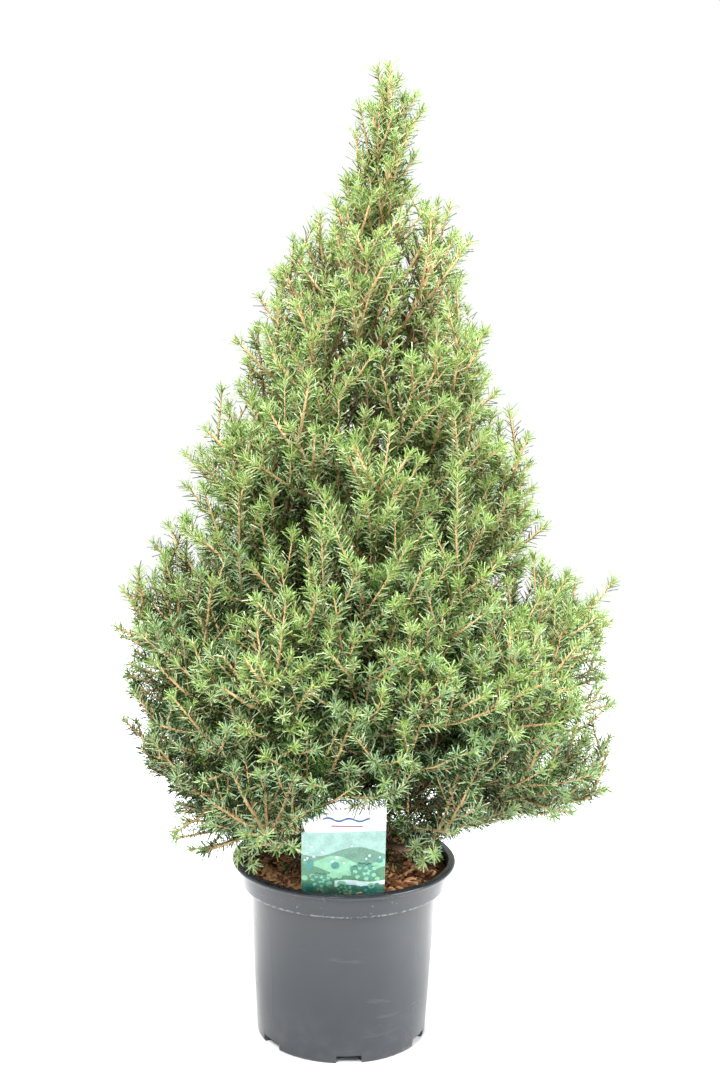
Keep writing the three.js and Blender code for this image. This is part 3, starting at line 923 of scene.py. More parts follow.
@dataclass
class LabelCard:
    """The thin bent card: a white plate with a header band and a picture of plain hills and a pond."""

    width: float = 78.0
    length: float = 125.0
    thickness: float = 0.9
    bow: float = 2.5
    lean: float = 15.0
    foot: float = 158.5
    foot_back: float = 87.5
    corner: float = 3.0
    ink_step: float = 0.006
    least_height: float = 0.05
    column_step: float = 1.2
    columns: tuple[int, int] = (11, 72)
    margin: float = 0.05
    dot_share: float = 0.999
    sill: float = 1.5
    shrub_leaves: int = 30
    picture_seed: int = 5
    layers: dict[Ink, list[Surface]] = field(default_factory=dict)
    depth: int = 0

    def bent(self, x: Array, y: Array, z: Array) -> Array:
        """Bends a flat point forward by bow (1 - (2x/width)^2), leans it and stands it in the pot.

        Args:
            x: places across the card.
            y: places through it.
            z: places up it.

        Returns:
            The points.
        """
        bowed = y - self.bow * (1 - (2 * x / self.width) ** 2)
        back, up = spin(bowed, z, math.radians(self.lean))
        return np.stack([x, back - self.foot_back + self.bow, up + self.foot], axis=-1)

    def strip(self, sides: Span, low: Edge, high: Edge, front: float, back: float) -> Surface:
        """A closed slab between two edges that are functions of x, bent with the card.

        Args:
            sides: its lowest and highest x.
            low: its lower edge.
            high: its upper edge.
            front: its front face, towards -Y.
            back: its back face.

        Returns:
            The slab, with columns about a millimetre apart.
        """
        columns = int(np.clip((sides[1] - sides[0]) / self.column_step, *self.columns))
        x = mix(*sides, (1 - np.cos(np.linspace(0, math.pi, columns))) / 2)
        bottom = low(x)
        top = np.maximum(high(x), bottom + self.least_height)
        ring = [(back, bottom), (back, top), (front, top), (front, bottom)]
        points = np.stack([self.bent(x, np.full_like(x, depth), z) for depth, z in ring], axis=1)
        return Surface(points.reshape(-1, 3), tube_faces(columns, 4))

    def print_shape(self, ink: Ink, sides: Span, low: Edge, high: Edge) -> None:
        """Adds a printed shape in front of the ones before it.

        Args:
            ink: its colour.
            sides: its lowest and highest x.
            low: its lower edge.
            high: its upper edge.
        """
        self.depth += 1
        front = -self.thickness / 2 - self.ink_step * self.depth
        shape = self.strip(sides, low, high, front, -self.thickness / 4)
        self.layers.setdefault(ink, []).append(shape)

    def dot(self, ink: Ink, x: float, z: float, radius: float) -> None:
        """Prints a disc, whose edges are z -/+ sqrt(radius^2 - (x' - x)^2).

        Args:
            ink: its colour.
            x: its centre across the card.
            z: its centre up the card.
            radius: its radius.
        """
        def half(at: Array) -> Array:
            """Half the disc's height at x'."""
            return np.sqrt(np.maximum(radius ** 2 - (at - x) ** 2, 0))

        reach = radius * self.dot_share
        self.print_shape(ink, (x - reach, x + reach), lambda at: z - half(at), lambda at: z + half(at))

    def rounded(self, at: Array) -> Array:
        """How far the plate's ends draw in near its sides, for round corners."""
        over = np.maximum(np.abs(at) - (self.width / 2 - self.corner), 0)
        return self.corner - np.sqrt(np.maximum(self.corner ** 2 - over ** 2, 0))

    def draw_picture(self) -> None:
        """Prints a plain view of hills and a pond with round shrubs, and a header of lines and dots."""
        side = self.width / 2 - self.margin
        sill = wave(self.sill)
        for ink, left, low, high in (
            (Ink.SKY, -1.0, sill, wave(88.0, 1.6, 22, 0.4)),
            (Ink.HAZE, -1.0, sill, wave(66, 6, 13, 0.6)),
            (Ink.MINT, -1.0, sill, wave(57, 5, 9, 2.4)),
            (Ink.HILL, -1.0, sill, wave(46, 6, 15, 4.4)),
            (Ink.POND, -0.2, wave(28, 1.4, 5, 0), wave(34, 1.2, 7, 1)),
            (Ink.TEAL, -1.0, sill, wave(25, 3.4, 8, 5.1)),
        ):
            self.print_shape(ink, (side * left, side), low, high)
        # Loose dots in bands: how many, the band's lowest and highest place, and their radii
        draw = np.random.default_rng(self.picture_seed)
        for ink, count, low, high, least, most in (
            (Ink.TEAL, 9, 44, 58, 2.2, 4.4), (Ink.MINT, 16, 28, 42, 1.6, 3.4),
            (Ink.HAZE, 20, 17, 30, 1.4, 3.0), (Ink.MINT, 22, 15, 24, 0.8, 1.8),
            (Ink.POND, 14, 52, 74, 0.7, 1.5),
        ):
            for _ in range(count):
                radius = draw.uniform(least, most)
                self.dot(ink, draw.uniform(-side + radius, side - radius), draw.uniform(low, high), radius)
        # Round shrubs of dots at the golden angle: the middle, the foot and half the width of each
        for middle, foot, wide in ((-0.56, 30, 9.0), (0.5, 40, 11.0), (0.02, 22, 6.5)):
            for index in range(self.shrub_leaves):
                pile, bearing = math.sqrt((index + 0.5) / self.shrub_leaves), index * GOLDEN_TURN
                ink = (Ink.TEAL, Ink.HILL, Ink.MINT)[index % 3]
                self.dot(ink, side * middle + wide * pile * math.cos(bearing),
                         foot + wide * (0.4 + 0.8 * pile * math.sin(bearing)), wide * 0.2)
        # The header: a ribbon, a line, a row of nine dots and a ring of five
        self.print_shape(Ink.BLUE, (-side * 0.5, side * 0.62), wave(101.4, 1.6, 3.1), wave(102.6, 1.6, 3.1))
        self.print_shape(Ink.PINK, (-side * 0.3, side * 0.45), wave(94.6), wave(95.2))
        for index in range(9):
            self.dot(Ink.PINK, mix(-side * 0.2, side * 0.7, index / 8), 114.0, 0.8)
        for angle in even_angles(5):
            self.dot(Ink.TEAL, -side * 0.78 + 3 * math.cos(angle), 106 + 3 * math.sin(angle), 1.7)

    def build(self) -> list[Object]:
        """Makes the plate and one piece for each ink.

        Returns:
            The pieces.
        """
        half = self.width / 2
        plate = self.strip((-half, half), self.rounded, lambda at: self.length - self.rounded(at),
                           -self.thickness / 2, self.thickness / 2)
        finish = GrownFinish("card_white", Ink.WHITE.value, (0.76, 0.78, 0.79), patch_scale=30.0,
                             roughness=0.3, grain_scale=500.0)
        piece = make_piece("label_plate", plate, finish.build(), smooth=False)
        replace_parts(piece, "label_card")
        pieces = [piece]
        self.draw_picture()
        for ink, shapes in self.layers.items():
            name = ink.name.lower()
            shade = tuple(0.8 * channel for channel in ink.value)
            finish = GrownFinish(f"card_ink_{name}", ink.value, shade, patch_scale=120.0, roughness=0.3,
                                 grain_scale=500.0)
            title = f"label_print_{name}"
            pieces.append(make_piece(title, join(shapes), finish.build(), smooth=False))
        return pieces


# How the plant grows


class Draws:
    """Repeatable draws between 0 and 1, from a multiplicative generator with a prime modulus."""

    MODULUS = 2147483647
    FACTOR = 48271
    SEED_FACTOR = 7919
    SEED_SHIFT = 104729

    def __init__(self, seed: int) -> None:
        """Starts from a seed, past the first two draws."""
        start = (seed * self.SEED_FACTOR + self.SEED_SHIFT) % self.MODULUS
        self.state = start * self.FACTOR ** 2 % self.MODULUS

    def next(self) -> float:
        """The next draw."""
        self.state = self.state * self.FACTOR % self.MODULUS
        return self.state / self.MODULUS

    def around_zero(self) -> float:
        """The next draw, between -1 and 1."""
        return 2 * self.next() - 1


@dataclass
class Curves:
    """Many quadratic curves, one to a row: (1-s)^2 root + 2s(1-s) middle + s^2 tip."""

    root: Array
    middle: Array
    tip: Array

    def take(self, rows: Array) -> "Curves":
        """The curves in some rows, which may repeat."""
        return Curves(self.root[rows], self.middle[rows], self.tip[rows])

    def at(self, share: Array) -> Array:
        """Points at shares, one row of shares for each curve."""
        s = share[..., None]
        return ((1 - s) ** 2 * self.root[:, None] + 2 * s * (1 - s) * self.middle[:, None]
                + s ** 2 * self.tip[:, None])

    def tangent(self, share: Array) -> Array:
        """Directions at shares, from root to tip."""
        s = share[..., None]
        return unit((1 - s) * (self.middle - self.root)[:, None] + s * (self.tip - self.middle)[:, None])

    def aside(self) -> Array:
        """The level direction across each curve at its root, or +X where it starts nearly upright."""
        across = np.cross(unit(self.middle - self.root), UP)
        return np.where(norm(across)[:, None] < NEARLY_UPRIGHT, np.array([1.0, 0, 0]), unit(across))

    def around(self, share: Array) -> tuple[Array, Array, Array]:
        """Directions along, beside and across each curve at shares, all at right angles.

        Args:
            share: one row of shares for each curve.

        Returns:
            The tangent, the side and the lift, where lift is side x tangent.
        """
        along = self.tangent(share)
        aside = self.aside()[:, None]
        side = unit(aside - along * np.sum(aside * along, axis=-1, keepdims=True))
        return along, side, np.cross(side, along)

    def leaning(self, share: Array, spread: Array, angle: Array) -> Array:
        """Directions that lean from the curve by a spread, at an angle round it.

        Each is cos(spread) along + sin(spread) (cos(angle) side + sin(angle) lift).

        Args:
            share: one row of shares for each curve.
            spread: angles from the tangent, in radians.
            angle: angles round the tangent, in radians.

        Returns:
            Unit directions.
        """
        along, side, lift = self.around(share)
        spread, angle = spread[..., None], angle[..., None]
        return np.cos(spread) * along + np.sin(spread) * (np.cos(angle) * side + np.sin(angle) * lift)

    def rings(self, share: Array, sides: int, radius: Array) -> Array:
        """Points of rings across each curve, each at centre + radius (cos a side - sin a lift).

        Args:
            share: one row of shares for each curve, with a share for each ring.
            sides: how many points each ring has.
            radius: radii that fit the curves, their rings and the rings' points.

        Returns:
            The points, curve by curve and ring by ring.
        """
        _, side, lift = self.around(share)
        angle = even_angles(sides)[:, None]
        ring = np.cos(angle) * side[:, :, None] - np.sin(angle) * lift[:, :, None]
        return (self.at(share)[:, :, None] + radius[..., None] * ring).reshape(-1, 3)

    def length(self) -> Array:
        """Nearly the length of each curve: half the sum of its chord and its two legs."""
        legs = norm(self.middle - self.root) + norm(self.tip - self.middle)
        return (legs + norm(self.tip - self.root)) / 2

    def cut(self, start: Array, end: Array) -> "Curves":
        """The stretch of each curve between two shares, s and e, as a curve of its own.

        Its middle is (1-s)(1-e) root + (s(1-e) + e(1-s)) middle + se tip.

        Args:
            start: the share where each begins.
            end: the share where each ends.

        Returns:
            The stretches.
        """
        s, e = start[:, None], end[:, None]
        root, tip = self.at(s)[:, 0], self.at(e)[:, 0]
        middle = ((1 - s) * (1 - e) * self.root + (s * (1 - e) + e * (1 - s)) * self.middle
                  + s * e * self.tip)
        return Curves(root, middle, tip)


def sprouts(root: Array, heading: Array, length: Array, lift: float) -> Curves:
    """Curves that start along a heading and bend up by a lift times their length."""
    reach = heading * length[:, None]
    return Curves(root, root + reach / 2, root + reach + UP * (lift * length)[:, None])


@dataclass(frozen=True)
class Whorl:
    """A ring of limbs, all alike but for small draws."""

    name: str
    limbs: int
    root: float
    tip: float
    reach: float
    azimuth: float
    root_radius: float
    bough: float
    twigs: int
    longest: float
    shortest: float
    spread: float


WHORLS = (
    Whorl("skirt", 7, 212, 284, 244, -9, 4.2, 0.36, 12, 108, 46, 46),
    Whorl("lower", 6, 262, 428, 232, 10, 4.6, 0.38, 12, 108, 46, 44),
    Whorl("middle", 5, 345, 580, 148, -8, 4.2, 0.36, 11, 100, 42, 42),
    Whorl("upper", 4, 470, 705, 106, 58, 3.6, 0.34, 10, 84, 38, 40),
    Whorl("high", 3, 612, 790, 70, 22, 2.8, 0.3, 8, 70, 32, 38),
    Whorl("summit", 3, 758, 872, 27, 65, 1.8, 0.0, 5, 46, 24, 34),
)
LEADER = Whorl("leader", 1, 868.3, 938, 0, 0, 2.0, 0.0, 6, 38, 22, 30)


@dataclass
class Limb:
    """One limb of a whorl, with its centre line and the draws that go on with its twigs."""

    name: str
    whorl: Whorl
    draws: Draws
    line: Curves


@dataclass
class Habit:
    """The plant's growth rule: the trunk's line, its limbs and the crown's outline."""

    foot: float = 168.3
    trunk_tip: float = 868.0
    tip: float = 945.0
    foot_radius: float = 10.5
    tip_radius: float = 2.0
    flare: float = 7.0
    flare_height: float = 14.0
    lean: float = 30.0
    lean_power: float = 1.3
    sway: float = 4.0
    root_stagger: float = 9.0
    azimuth_spread: float = 4.0
    tip_spread: float = 26.0
    reach_spread: float = 0.07
    side_pull: float = 0.055
    bend_out: float = 0.62
    bend_up: float = 0.3
    limb_tip_radius: float = 1.1
    leader_seed: int = 90
    outline_heights: Numbers = (
        150, 192, 228, 252, 285, 405, 470, 600, 770, 790, 812, 835, 858, 890, 945)
    outline_radii: Numbers = (
        112, 140, 156, 204, 246, 246, 202, 154, 95, 78, 52, 37, 27, 25, 10)
    shift_heights: Numbers = (200, 250, 405, 460, 520, 640, 740, 830)
    shifts: Numbers = (-0.1, 0.055, 0.055, 0.0, -0.07, -0.06, 0.0, 0.2)

    def trunk_centre(self, height: Number) -> Array:
        """The trunk's centre at a height: a lean that grows with height, and one full sway.

        With t the share of the height, x is lean t^power + sway sin(turn t) and y is half that sway.

        Args:
            height: one height or many.

        Returns:
            A point for each.
        """
        height = np.asarray(height, float)
        rise = np.clip((height - self.foot) / (self.tip - self.foot), 0, None)
        sway = self.sway * np.sin(FULL_TURN * rise)
        return np.stack([self.lean * rise ** self.lean_power + sway, sway / 2, height], axis=-1)

    def trunk_radius(self, height: Array) -> Array:
        """The trunk's radius: a straight taper plus a root flare that dies away upwards.

        Args:
            height: heights.

        Returns:
            A radius for each.
        """
        rise = (height - self.foot) / (self.tip - self.foot)
        flare = self.flare * np.exp(-(height - self.foot) / self.flare_height)
        return mix(self.foot_radius, self.tip_radius, rise) + flare

    def pull(self, azimuth: Array) -> Array:
        """How much further the limbs reach on the right side."""
        return 1 + self.side_pull * np.cos(azimuth)

    def crown(self, points: Array) -> tuple[Array, Array]:
        """Distance of points from the trunk, and of the crown's outline in the same direction.

        The outline's radius at a height is drawn to one side: radius (1 + shift cos azimuth).

        Args:
            points: the points.

        Returns:
            Both distances.
        """
        height = points[..., 2]
        off = points - self.trunk_centre(height)
        out = np.hypot(off[..., 0], off[..., 1])
        radius = np.interp(height, self.outline_heights, self.outline_radii, left=0, right=0)
        shift = np.interp(height, self.shift_heights, self.shifts)
        return out, radius * (1 + shift * off[..., 0] / np.maximum(out, 1))

    def inside(self, points: Array, margin: float | Array = 0.0) -> Array:
        """Whether points lie within the crown's outline, drawn in by a margin."""
        out, outline = self.crown(points)
        return out < outline - margin

    def depth(self, points: Array) -> Array:
        """How far out points lie, from 0 at the trunk to 1 at the crown's outline."""
        out, outline = self.crown(points)
        return out / np.maximum(outline, 10)

    def limb(self, whorl: Whorl, index: int, seed: int) -> Limb:
        """Grows one limb: out from the trunk to its reach, turning up on a quadratic curve.

        Args:
            whorl: its whorl.
            index: its number in the whorl, from 0.
            seed: the seed of its draws.

        Returns:
            The limb.
        """
        draws = Draws(seed)
        azimuth = math.radians(whorl.azimuth + index * 360 / whorl.limbs
                               + self.azimuth_spread * draws.around_zero())
        root = whorl.root + (-self.root_stagger if index % 2 == 0 else self.root_stagger)
        tip = whorl.tip + self.tip_spread * draws.around_zero()
        reach = whorl.reach * self.pull(azimuth) * (1 + self.reach_spread * draws.around_zero())
        out = np.array([math.cos(azimuth), math.sin(azimuth), 0])
        start = self.trunk_centre(root)
        end = self.trunk_centre(tip) + out * reach
        bend = start + out * (reach * self.bend_out) + UP * ((tip - root) * self.bend_up)
        line = Curves(start[None], bend[None], end[None])
        return Limb(f"{whorl.name}_{index + 1}", whorl, draws, line)

    def limbs(self) -> list[Limb]:
        """All limbs from the skirt up, and the leader that grows on from the trunk's tip.

        Returns:
            The limbs, in the order of their seeds.
        """
        grown: list[Limb] = []
        for whorl in WHORLS:
            for index in range(whorl.limbs):
                grown.append(self.limb(whorl, index, len(grown) + 1))
        start, end = self.trunk_centre(LEADER.root), self.trunk_centre(LEADER.tip)
        line = Curves(start[None], ((start + end) / 2)[None], end[None])
        grown.append(Limb("leader", LEADER, Draws(self.leader_seed), line))
        return grown


@dataclass
class Clearance:
    """Room that shoots and needles keep from the pot and the card, and the crown's hem."""

    pot: Pot
    card: LabelCard
    needle_room: float = 3.0
    rim_room: float = 3.0
    mouth_edge: float = 15.0
    sight_slope: float = 0.33
    hem_sides: Numbers = (
        -230, -200, -185, -172, -166, -120, -60, -45, 40, 50, 78, 95, 143, 178, 208, 231, 257, 264)
    hem: Numbers = (
        325, 293, 270, 246, 194, 172, 166, 190, 193, 180, 180, 204, 220, 225, 220, 222, 240, 248)
    veil_side: float = -8.0
    veil_heights: Span = (64.0, 96.0)

    def in_box(self, points: Array) -> Array:
        """Whether points lie within the CAD model's box, less a little room for the needles."""
        low, high = np.array(CAD_BOX) / MM
        return ((points > low + self.needle_room) & (points < high - self.needle_room)).all(axis=-1)

    def above_hem(self, points: Array) -> Array:
        """Whether points lie above the crown's hem as seen from the front, or within the pot's mouth.

        A point nearer to the camera than the trunk is seen lower by a slope times how much nearer it is.

        Args:
            points: the points.

        Returns:
            True where a point does.
        """
        x, y, z = points[..., 0], points[..., 1], points[..., 2]
        seen_height = z + self.sight_slope * np.minimum(y, 0)
        in_mouth = np.hypot(x, y) < self.pot.lip_radius - self.mouth_edge
        return (seen_height > np.interp(x, self.hem_sides, self.hem)) | in_mouth

    def free(self, points: Array, radius: float) -> Array:
        """Whether balls round points touch neither the pot's rim nor the card, nor hide much of the card.

        A thin veil may hang before the card's left half, within a band up its length.

        Args:
            points: their centres.
            radius: their radius.

        Returns:
            True where a ball is free.
        """
        x, y, z = points[..., 0], points[..., 1], points[..., 2]
        over_rim = self.pot.height + self.rim_room + radius
        off_pot = (np.hypot(x, y) > self.pot.lip_radius + radius) | (z > over_rim)
        up, front = z - self.card.foot, -y - self.card.foot_back
        before, along = spin(front, up, math.radians(self.card.lean))
        near = np.abs(before) < self.card.bow + self.card.thickness + radius
        low, high = self.veil_heights
        veil = (x < self.veil_side) & (along > low) & (along < high)
        by_card = (np.abs(x) < self.card.width / 2 + radius) & (along < self.card.length + radius)
        return off_pot & ~(by_card & (near | ((before > 0) & ~veil)))

    def shown(self, points: Array, radius: float) -> Array:
        """Whether balls round points are free and above the hem."""
        return self.free(points, radius) & self.above_hem(points)


# Foliage


class Tone(Enum):
    """Tones of the needles, from the fresh tips to the painted shade inside: two shades, roughness and
    gloss.
    """

    FRESH = ((0.33, 0.47, 0.13), (0.24, 0.37, 0.085), 0.36, 0.6)
    # Painted light: a lit copy of the green whose pale colour also stands in for the needles' sheen
    BRIGHT = ((0.45, 0.56, 0.29), (0.33, 0.45, 0.19), 0.36, 0.6)
    LEAF = ((0.078, 0.162, 0.022), (0.105, 0.205, 0.034), 0.36, 0.35)
    # The low needles' own bluer green, in a light tone that also carries painted light on the skirt
    BLUE = ((0.285, 0.425, 0.23), (0.18, 0.3, 0.135), 0.36, 0.6)
    # Painted shade: half-shaded and shaded copies of the green, with less gloss
    DEEP = ((0.022, 0.062, 0.009), (0.036, 0.09, 0.016), 0.6, 0.15)
    SHADE = ((0.006, 0.019, 0.004), (0.01, 0.028, 0.006), 0.6, 0.15)


class Age(Enum):
    """Ages of the shoots' bark: two shades, roughness, gloss, relief and its depth in metres."""

    YOUNG = ((0.52, 0.35, 0.165), (0.38, 0.225, 0.095), 0.6, 0.4, 0.4, 0.0003)
    OLD = ((0.2, 0.11, 0.055), (0.12, 0.065, 0.032), 0.75, 0.3, 0.5, 0.0004)


class Order(Enum):
    """Orders of side shoots: how far inside the outline most tips stay, and the radius at the root."""

    TWIG = (1.0, 1.95)
    SPRIG = (17.0, 1.3)


class Bearer(Enum):
    """Kinds of shoots that bear side shoots.

    Each gives the order of the side shoots, the shares of the bearer where they begin and end, the step
    between them, and the shortest and the longest wanted.
    """

    SLENDER_LIMB = (Order.TWIG, 0.25, 0.94, 20.0, 48.0, 88.0)
    BOUGH = (Order.SPRIG, 0.0, 1.0, 11.0, 34.0, 62.0)
    TRUNK_TOP = (Order.SPRIG, 0.0, 1.0, 9.0, 22.0, 34.0)
    TWIG = (Order.SPRIG, 0.12, 0.92, 20.0, 24.0, 62.0)
    STEM = (Order.SPRIG, 0.1, 0.96, 13.0, 26.0, 62.0)
    FILLER = (Order.SPRIG, 0.15, 0.9, 24.0, 24.0, 50.0)


@dataclass
class Shoots:
    """Shoots, with the share of each where its needles begin and its radii."""

    lines: Curves
    first_needle: Array
    root_radius: Array
    tip_radius: Array

    @classmethod
    def along(cls, lines: Curves, first_needle: Number, root_radius: Number, tip_radius: Number
              ) -> "Shoots":
        """Shoots along lines, with values that are one for all or one for each."""
        values = (first_needle, root_radius, tip_radius)
        return cls(lines, *(np.broadcast_to(value, len(lines.root)) for value in values))

    def keep(self, rows: Array) -> "Shoots":
        """The shoots in some rows."""
        return Shoots(self.lines.take(rows), self.first_needle[rows], self.root_radius[rows],
                      self.tip_radius[rows])


@dataclass
class Foliage:
    """The crown's shoots and needles, grown on from the limbs by the same rule to finer twigs."""

    habit: Habit
    clearance: Clearance
    limbs: list[Limb]
    seed: int = 23

    # Stems and boughs
    stem_steps: int = 25
    least_stem_steps: int = 3
    stem_room: float = 1.0
    stem_bare: float = 0.3
    stem_tip_radius: float = 1.25
    bough_bare: float = 0.15
    leafy_from: float = 700.0
    top_stretches: int = 3
    top_radius: float = 1.5

    # Slender limbs, from the lowest to the highest on the trunk
    slender_limbs: int = 58
    slender_roots: Span = (206.0, 858.0)
    slender_crowding: float = 1.6
    slender_start: float = 110.0
    slender_heights: Numbers = (206, 250, 330, 600, 800, 858)
    slender_rises: Numbers = (-22, 35, 110, 120, 85, 45)
    slender_rise_change: float = 14.0
    slender_reach: Span = (0.8, 0.95)
    slender_bare: float = 0.3
    slender_radius: float = 2.6
    slender_checked: Span = (0.2, 1.0)
    slender_checks: int = 12
    slender_room: float = 3.0
    sight_length: float = 20.0

    # More slender limbs: azimuth, height of root and tip, and reach as a share of the crown's outline
    valleys: tuple[tuple[float, float, float, float], ...] = (
        (-97, 256, 335, 0.9), (-84, 275, 385, 0.88), (-91, 300, 430, 0.94), (-76, 262, 345, 0.84),
        (-100, 322, 465, 0.9), (-80, 335, 480, 0.95), (-34, 232, 292, 0.9), (-27, 262, 370, 0.86),
        (-40, 290, 405, 0.93), (-68, 290, 400, 0.85), (-140, 236, 290, 0.9), (-135, 265, 380, 0.86),
        (-142, 300, 420, 0.93), (-66, 330, 450, 0.85), (-110, 262, 350, 0.9),
        (-50, 216, 193, 0.6), (-36, 222, 198, 0.64), (-128, 216, 190, 0.6), (-145, 214, 186, 0.6),
        (199, 228, 214, 1.1), (180, 226, 222, 1.06), (216, 232, 216, 1.04),
        (68, 222, 226, 0.8), (120, 226, 232, 0.82), (16, 224, 238, 0.84), (148, 220, 205, 0.7),
        (95, 218, 206, 0.66), (42, 218, 208, 0.66), (-60, 232, 262, 0.85),
        (60, 250, 300, 0.88), (112, 262, 330, 0.88), (165, 252, 300, 0.88), (15, 262, 330, 0.88),
        (52, 228, 262, 0.84), (84, 232, 268, 0.86), (104, 228, 256, 0.82), (132, 232, 268, 0.86),
        (74, 240, 246, 0.62), (96, 244, 244, 0.5), (118, 240, 248, 0.6), (30, 228, 252, 0.8),
        (155, 230, 254, 0.82), (-174, 228, 246, 0.8),
        (96, 545, 645, 0.9), (76, 500, 600, 0.92), (88, 372, 476, 0.92), (101, 440, 545, 0.92),
        (80, 222, 214, 0.6), (64, 224, 212, 0.56),
    )

    # Twigs
    twig_stretch: Span = (0.05, 0.9)
    twig_spread_change: float = 9.0
    twig_length_change: float = 0.14
    twig_lift: float = 0.3
    twig_shortest: float = 22.0
    twig_margin: float = 1.0
    twig_bare: float = 0.04
    twig_root_radius: float = 2.25
    twig_tip_radius: float = 1.15
    between: float = 0.82

    # Side shoots
    side_share: float = 0.4
    side_taper: float = 0.5
    side_extra: float = 22.0
    side_change: Span = (0.75, 1.2)
    side_spread: float = 42.0
    side_spread_change: float = 8.0
    side_rise: float = 0.4
    side_rise_heights: Span = (220.0, 560.0)
    side_lift: float = 0.2
    side_shortest: float = 14.0
    side_bare: float = 0.06
    side_tip_radius: float = 0.85

    # Fit of twigs and side shoots
    shrink: float = 0.88
    stray: float = 4.0
    shoot_checks: int = 7
    shoot_room: float = 2.0

    # Needles
    outer_depths: Span = (0.45, 0.75)
    needles_per_mm: float = 1.0
    inner_needles_per_mm: float = 0.36
    least_needles: int = 4
    top_thinning: float = 0.48
    thin_above: Span = (560.0, 780.0)
    thin_below: Span = (820.0, 880.0)
    tuft_needles: int = 22
    inner_tuft_needles: int = 7
    tuft_length: float = 9.0
    longest_tuft: float = 0.5
    tuft_share: float = 0.74
    tuft_width: float = 0.85
    tuft_spread: Span = (66.0, 4.0)
    tuft_crowding: float = 1.2
    young_length: float = 8.0
    needle_length: float = 11.6
    needle_length_change: Span = (0.8, 1.12)
    needle_width: float = 1.16
    needle_width_change: Span = (0.85, 1.15)
    inner_width: float = 1.6
    tip_width: float = 0.7
    needle_spread: Span = (62.0, 54.0)
    needle_spread_change: float = 6.0
    needle_turn_change: float = 0.35
    needle_rise: float = 0.1
    needle_middle: float = 0.6
    needle_room: float = 0.4
    most_needles: int = 48000

    # Painted light and shade that deal out the tones: lighter high up, at the crest, by the hem and to the
    # right, darker inside
    light_change: float = 0.08
    top_light: float = 0.78
    top_light_heights: Span = (230.0, 780.0)
    crest_light: float = 0.6
    crest_heights: Span = (800.0, 900.0)
    low_shade: float = 0.18
    side_light: float = 0.0006
    hem_light: float = 0.17
    hem_heights: Span = (220.0, 330.0)
    blue_below: float = 375.0
    blue_change: float = 85.0
    tip_blue_share: float = 0.5
    body_limits: Numbers = (0.54, 0.7, 0.97)
    young_limits: Numbers = (0.45, 0.56, 0.66, 0.82)
    # Random steps of each needle's tone, for painted highlights and shadows between needles; young tips
    # take only the darker steps, and only at a share
    step_changes: tuple[int, ...] = (-2, -1, 0, 1, 2)
    change_shares: Numbers = (0.32, 0.22, 0.18, 0.15, 0.13)
    tip_change_share: float = 0.8

    # Bark of the shoots
    shoot_sides: int = 3
    shoot_rings: int = 3
    young_depth: float = 0.62
    young_above: float = 820.0

    def __post_init__(self) -> None:
        """Starts the seeded draws, and keeps the limbs' lines and the share of each that is bare bough."""
        self.draw = np.random.default_rng(self.seed)
        self.bough = np.array([limb.whorl.bough for limb in self.limbs])
        self.lines = Curves(*(np.concatenate([getattr(limb.line, part) for limb in self.limbs])
                              for part in ("root", "middle", "tip")))

    def stems(self) -> Shoots:
        """The limbs' own stems beyond their boughs, each ended where it would leave the free room.

        Returns:
            The stems.
        """
        steps = mix(self.bough[:, None], 1.0, np.linspace(0, 1, self.stem_steps))
        free = np.cumprod(self.clearance.shown(self.lines.at(steps), self.stem_room), axis=1)
        last = np.maximum(free.sum(axis=1) - 1, self.least_stem_steps)
        end = np.take_along_axis(steps, last[:, None], axis=1)[:, 0]
        root = np.array([limb.whorl.root_radius for limb in self.limbs])
        radius = mix(root, self.habit.limb_tip_radius, self.bough)
        return Shoots.along(self.lines.cut(self.bough, end), self.stem_bare, radius, self.stem_tip_radius)

    def boughs(self) -> Shoots:
        """The limbs' bare boughs, which bear shaded sprigs inside the crown.

        Returns:
            The boughs, as bearers only.
        """
        rows = np.flatnonzero(self.bough > 0)
        lines = self.lines.take(rows).cut(np.full(len(rows), self.bough_bare), self.bough[rows])
        return Shoots.along(lines, 1.0, 1.0, 1.0)

    def trunk_top(self) -> Shoots:
        """The upper trunk in straight stretches, which bear needles and sprigs as a limb does.

        Returns:
            The stretches.
        """
        ends = self.habit.trunk_centre(
            np.linspace(self.leafy_from, self.habit.trunk_tip, self.top_stretches + 1))
        lines = Curves(ends[:-1], (ends[:-1] + ends[1:]) / 2, ends[1:])
        return Shoots.along(lines, 0.0, self.top_radius, self.top_radius)

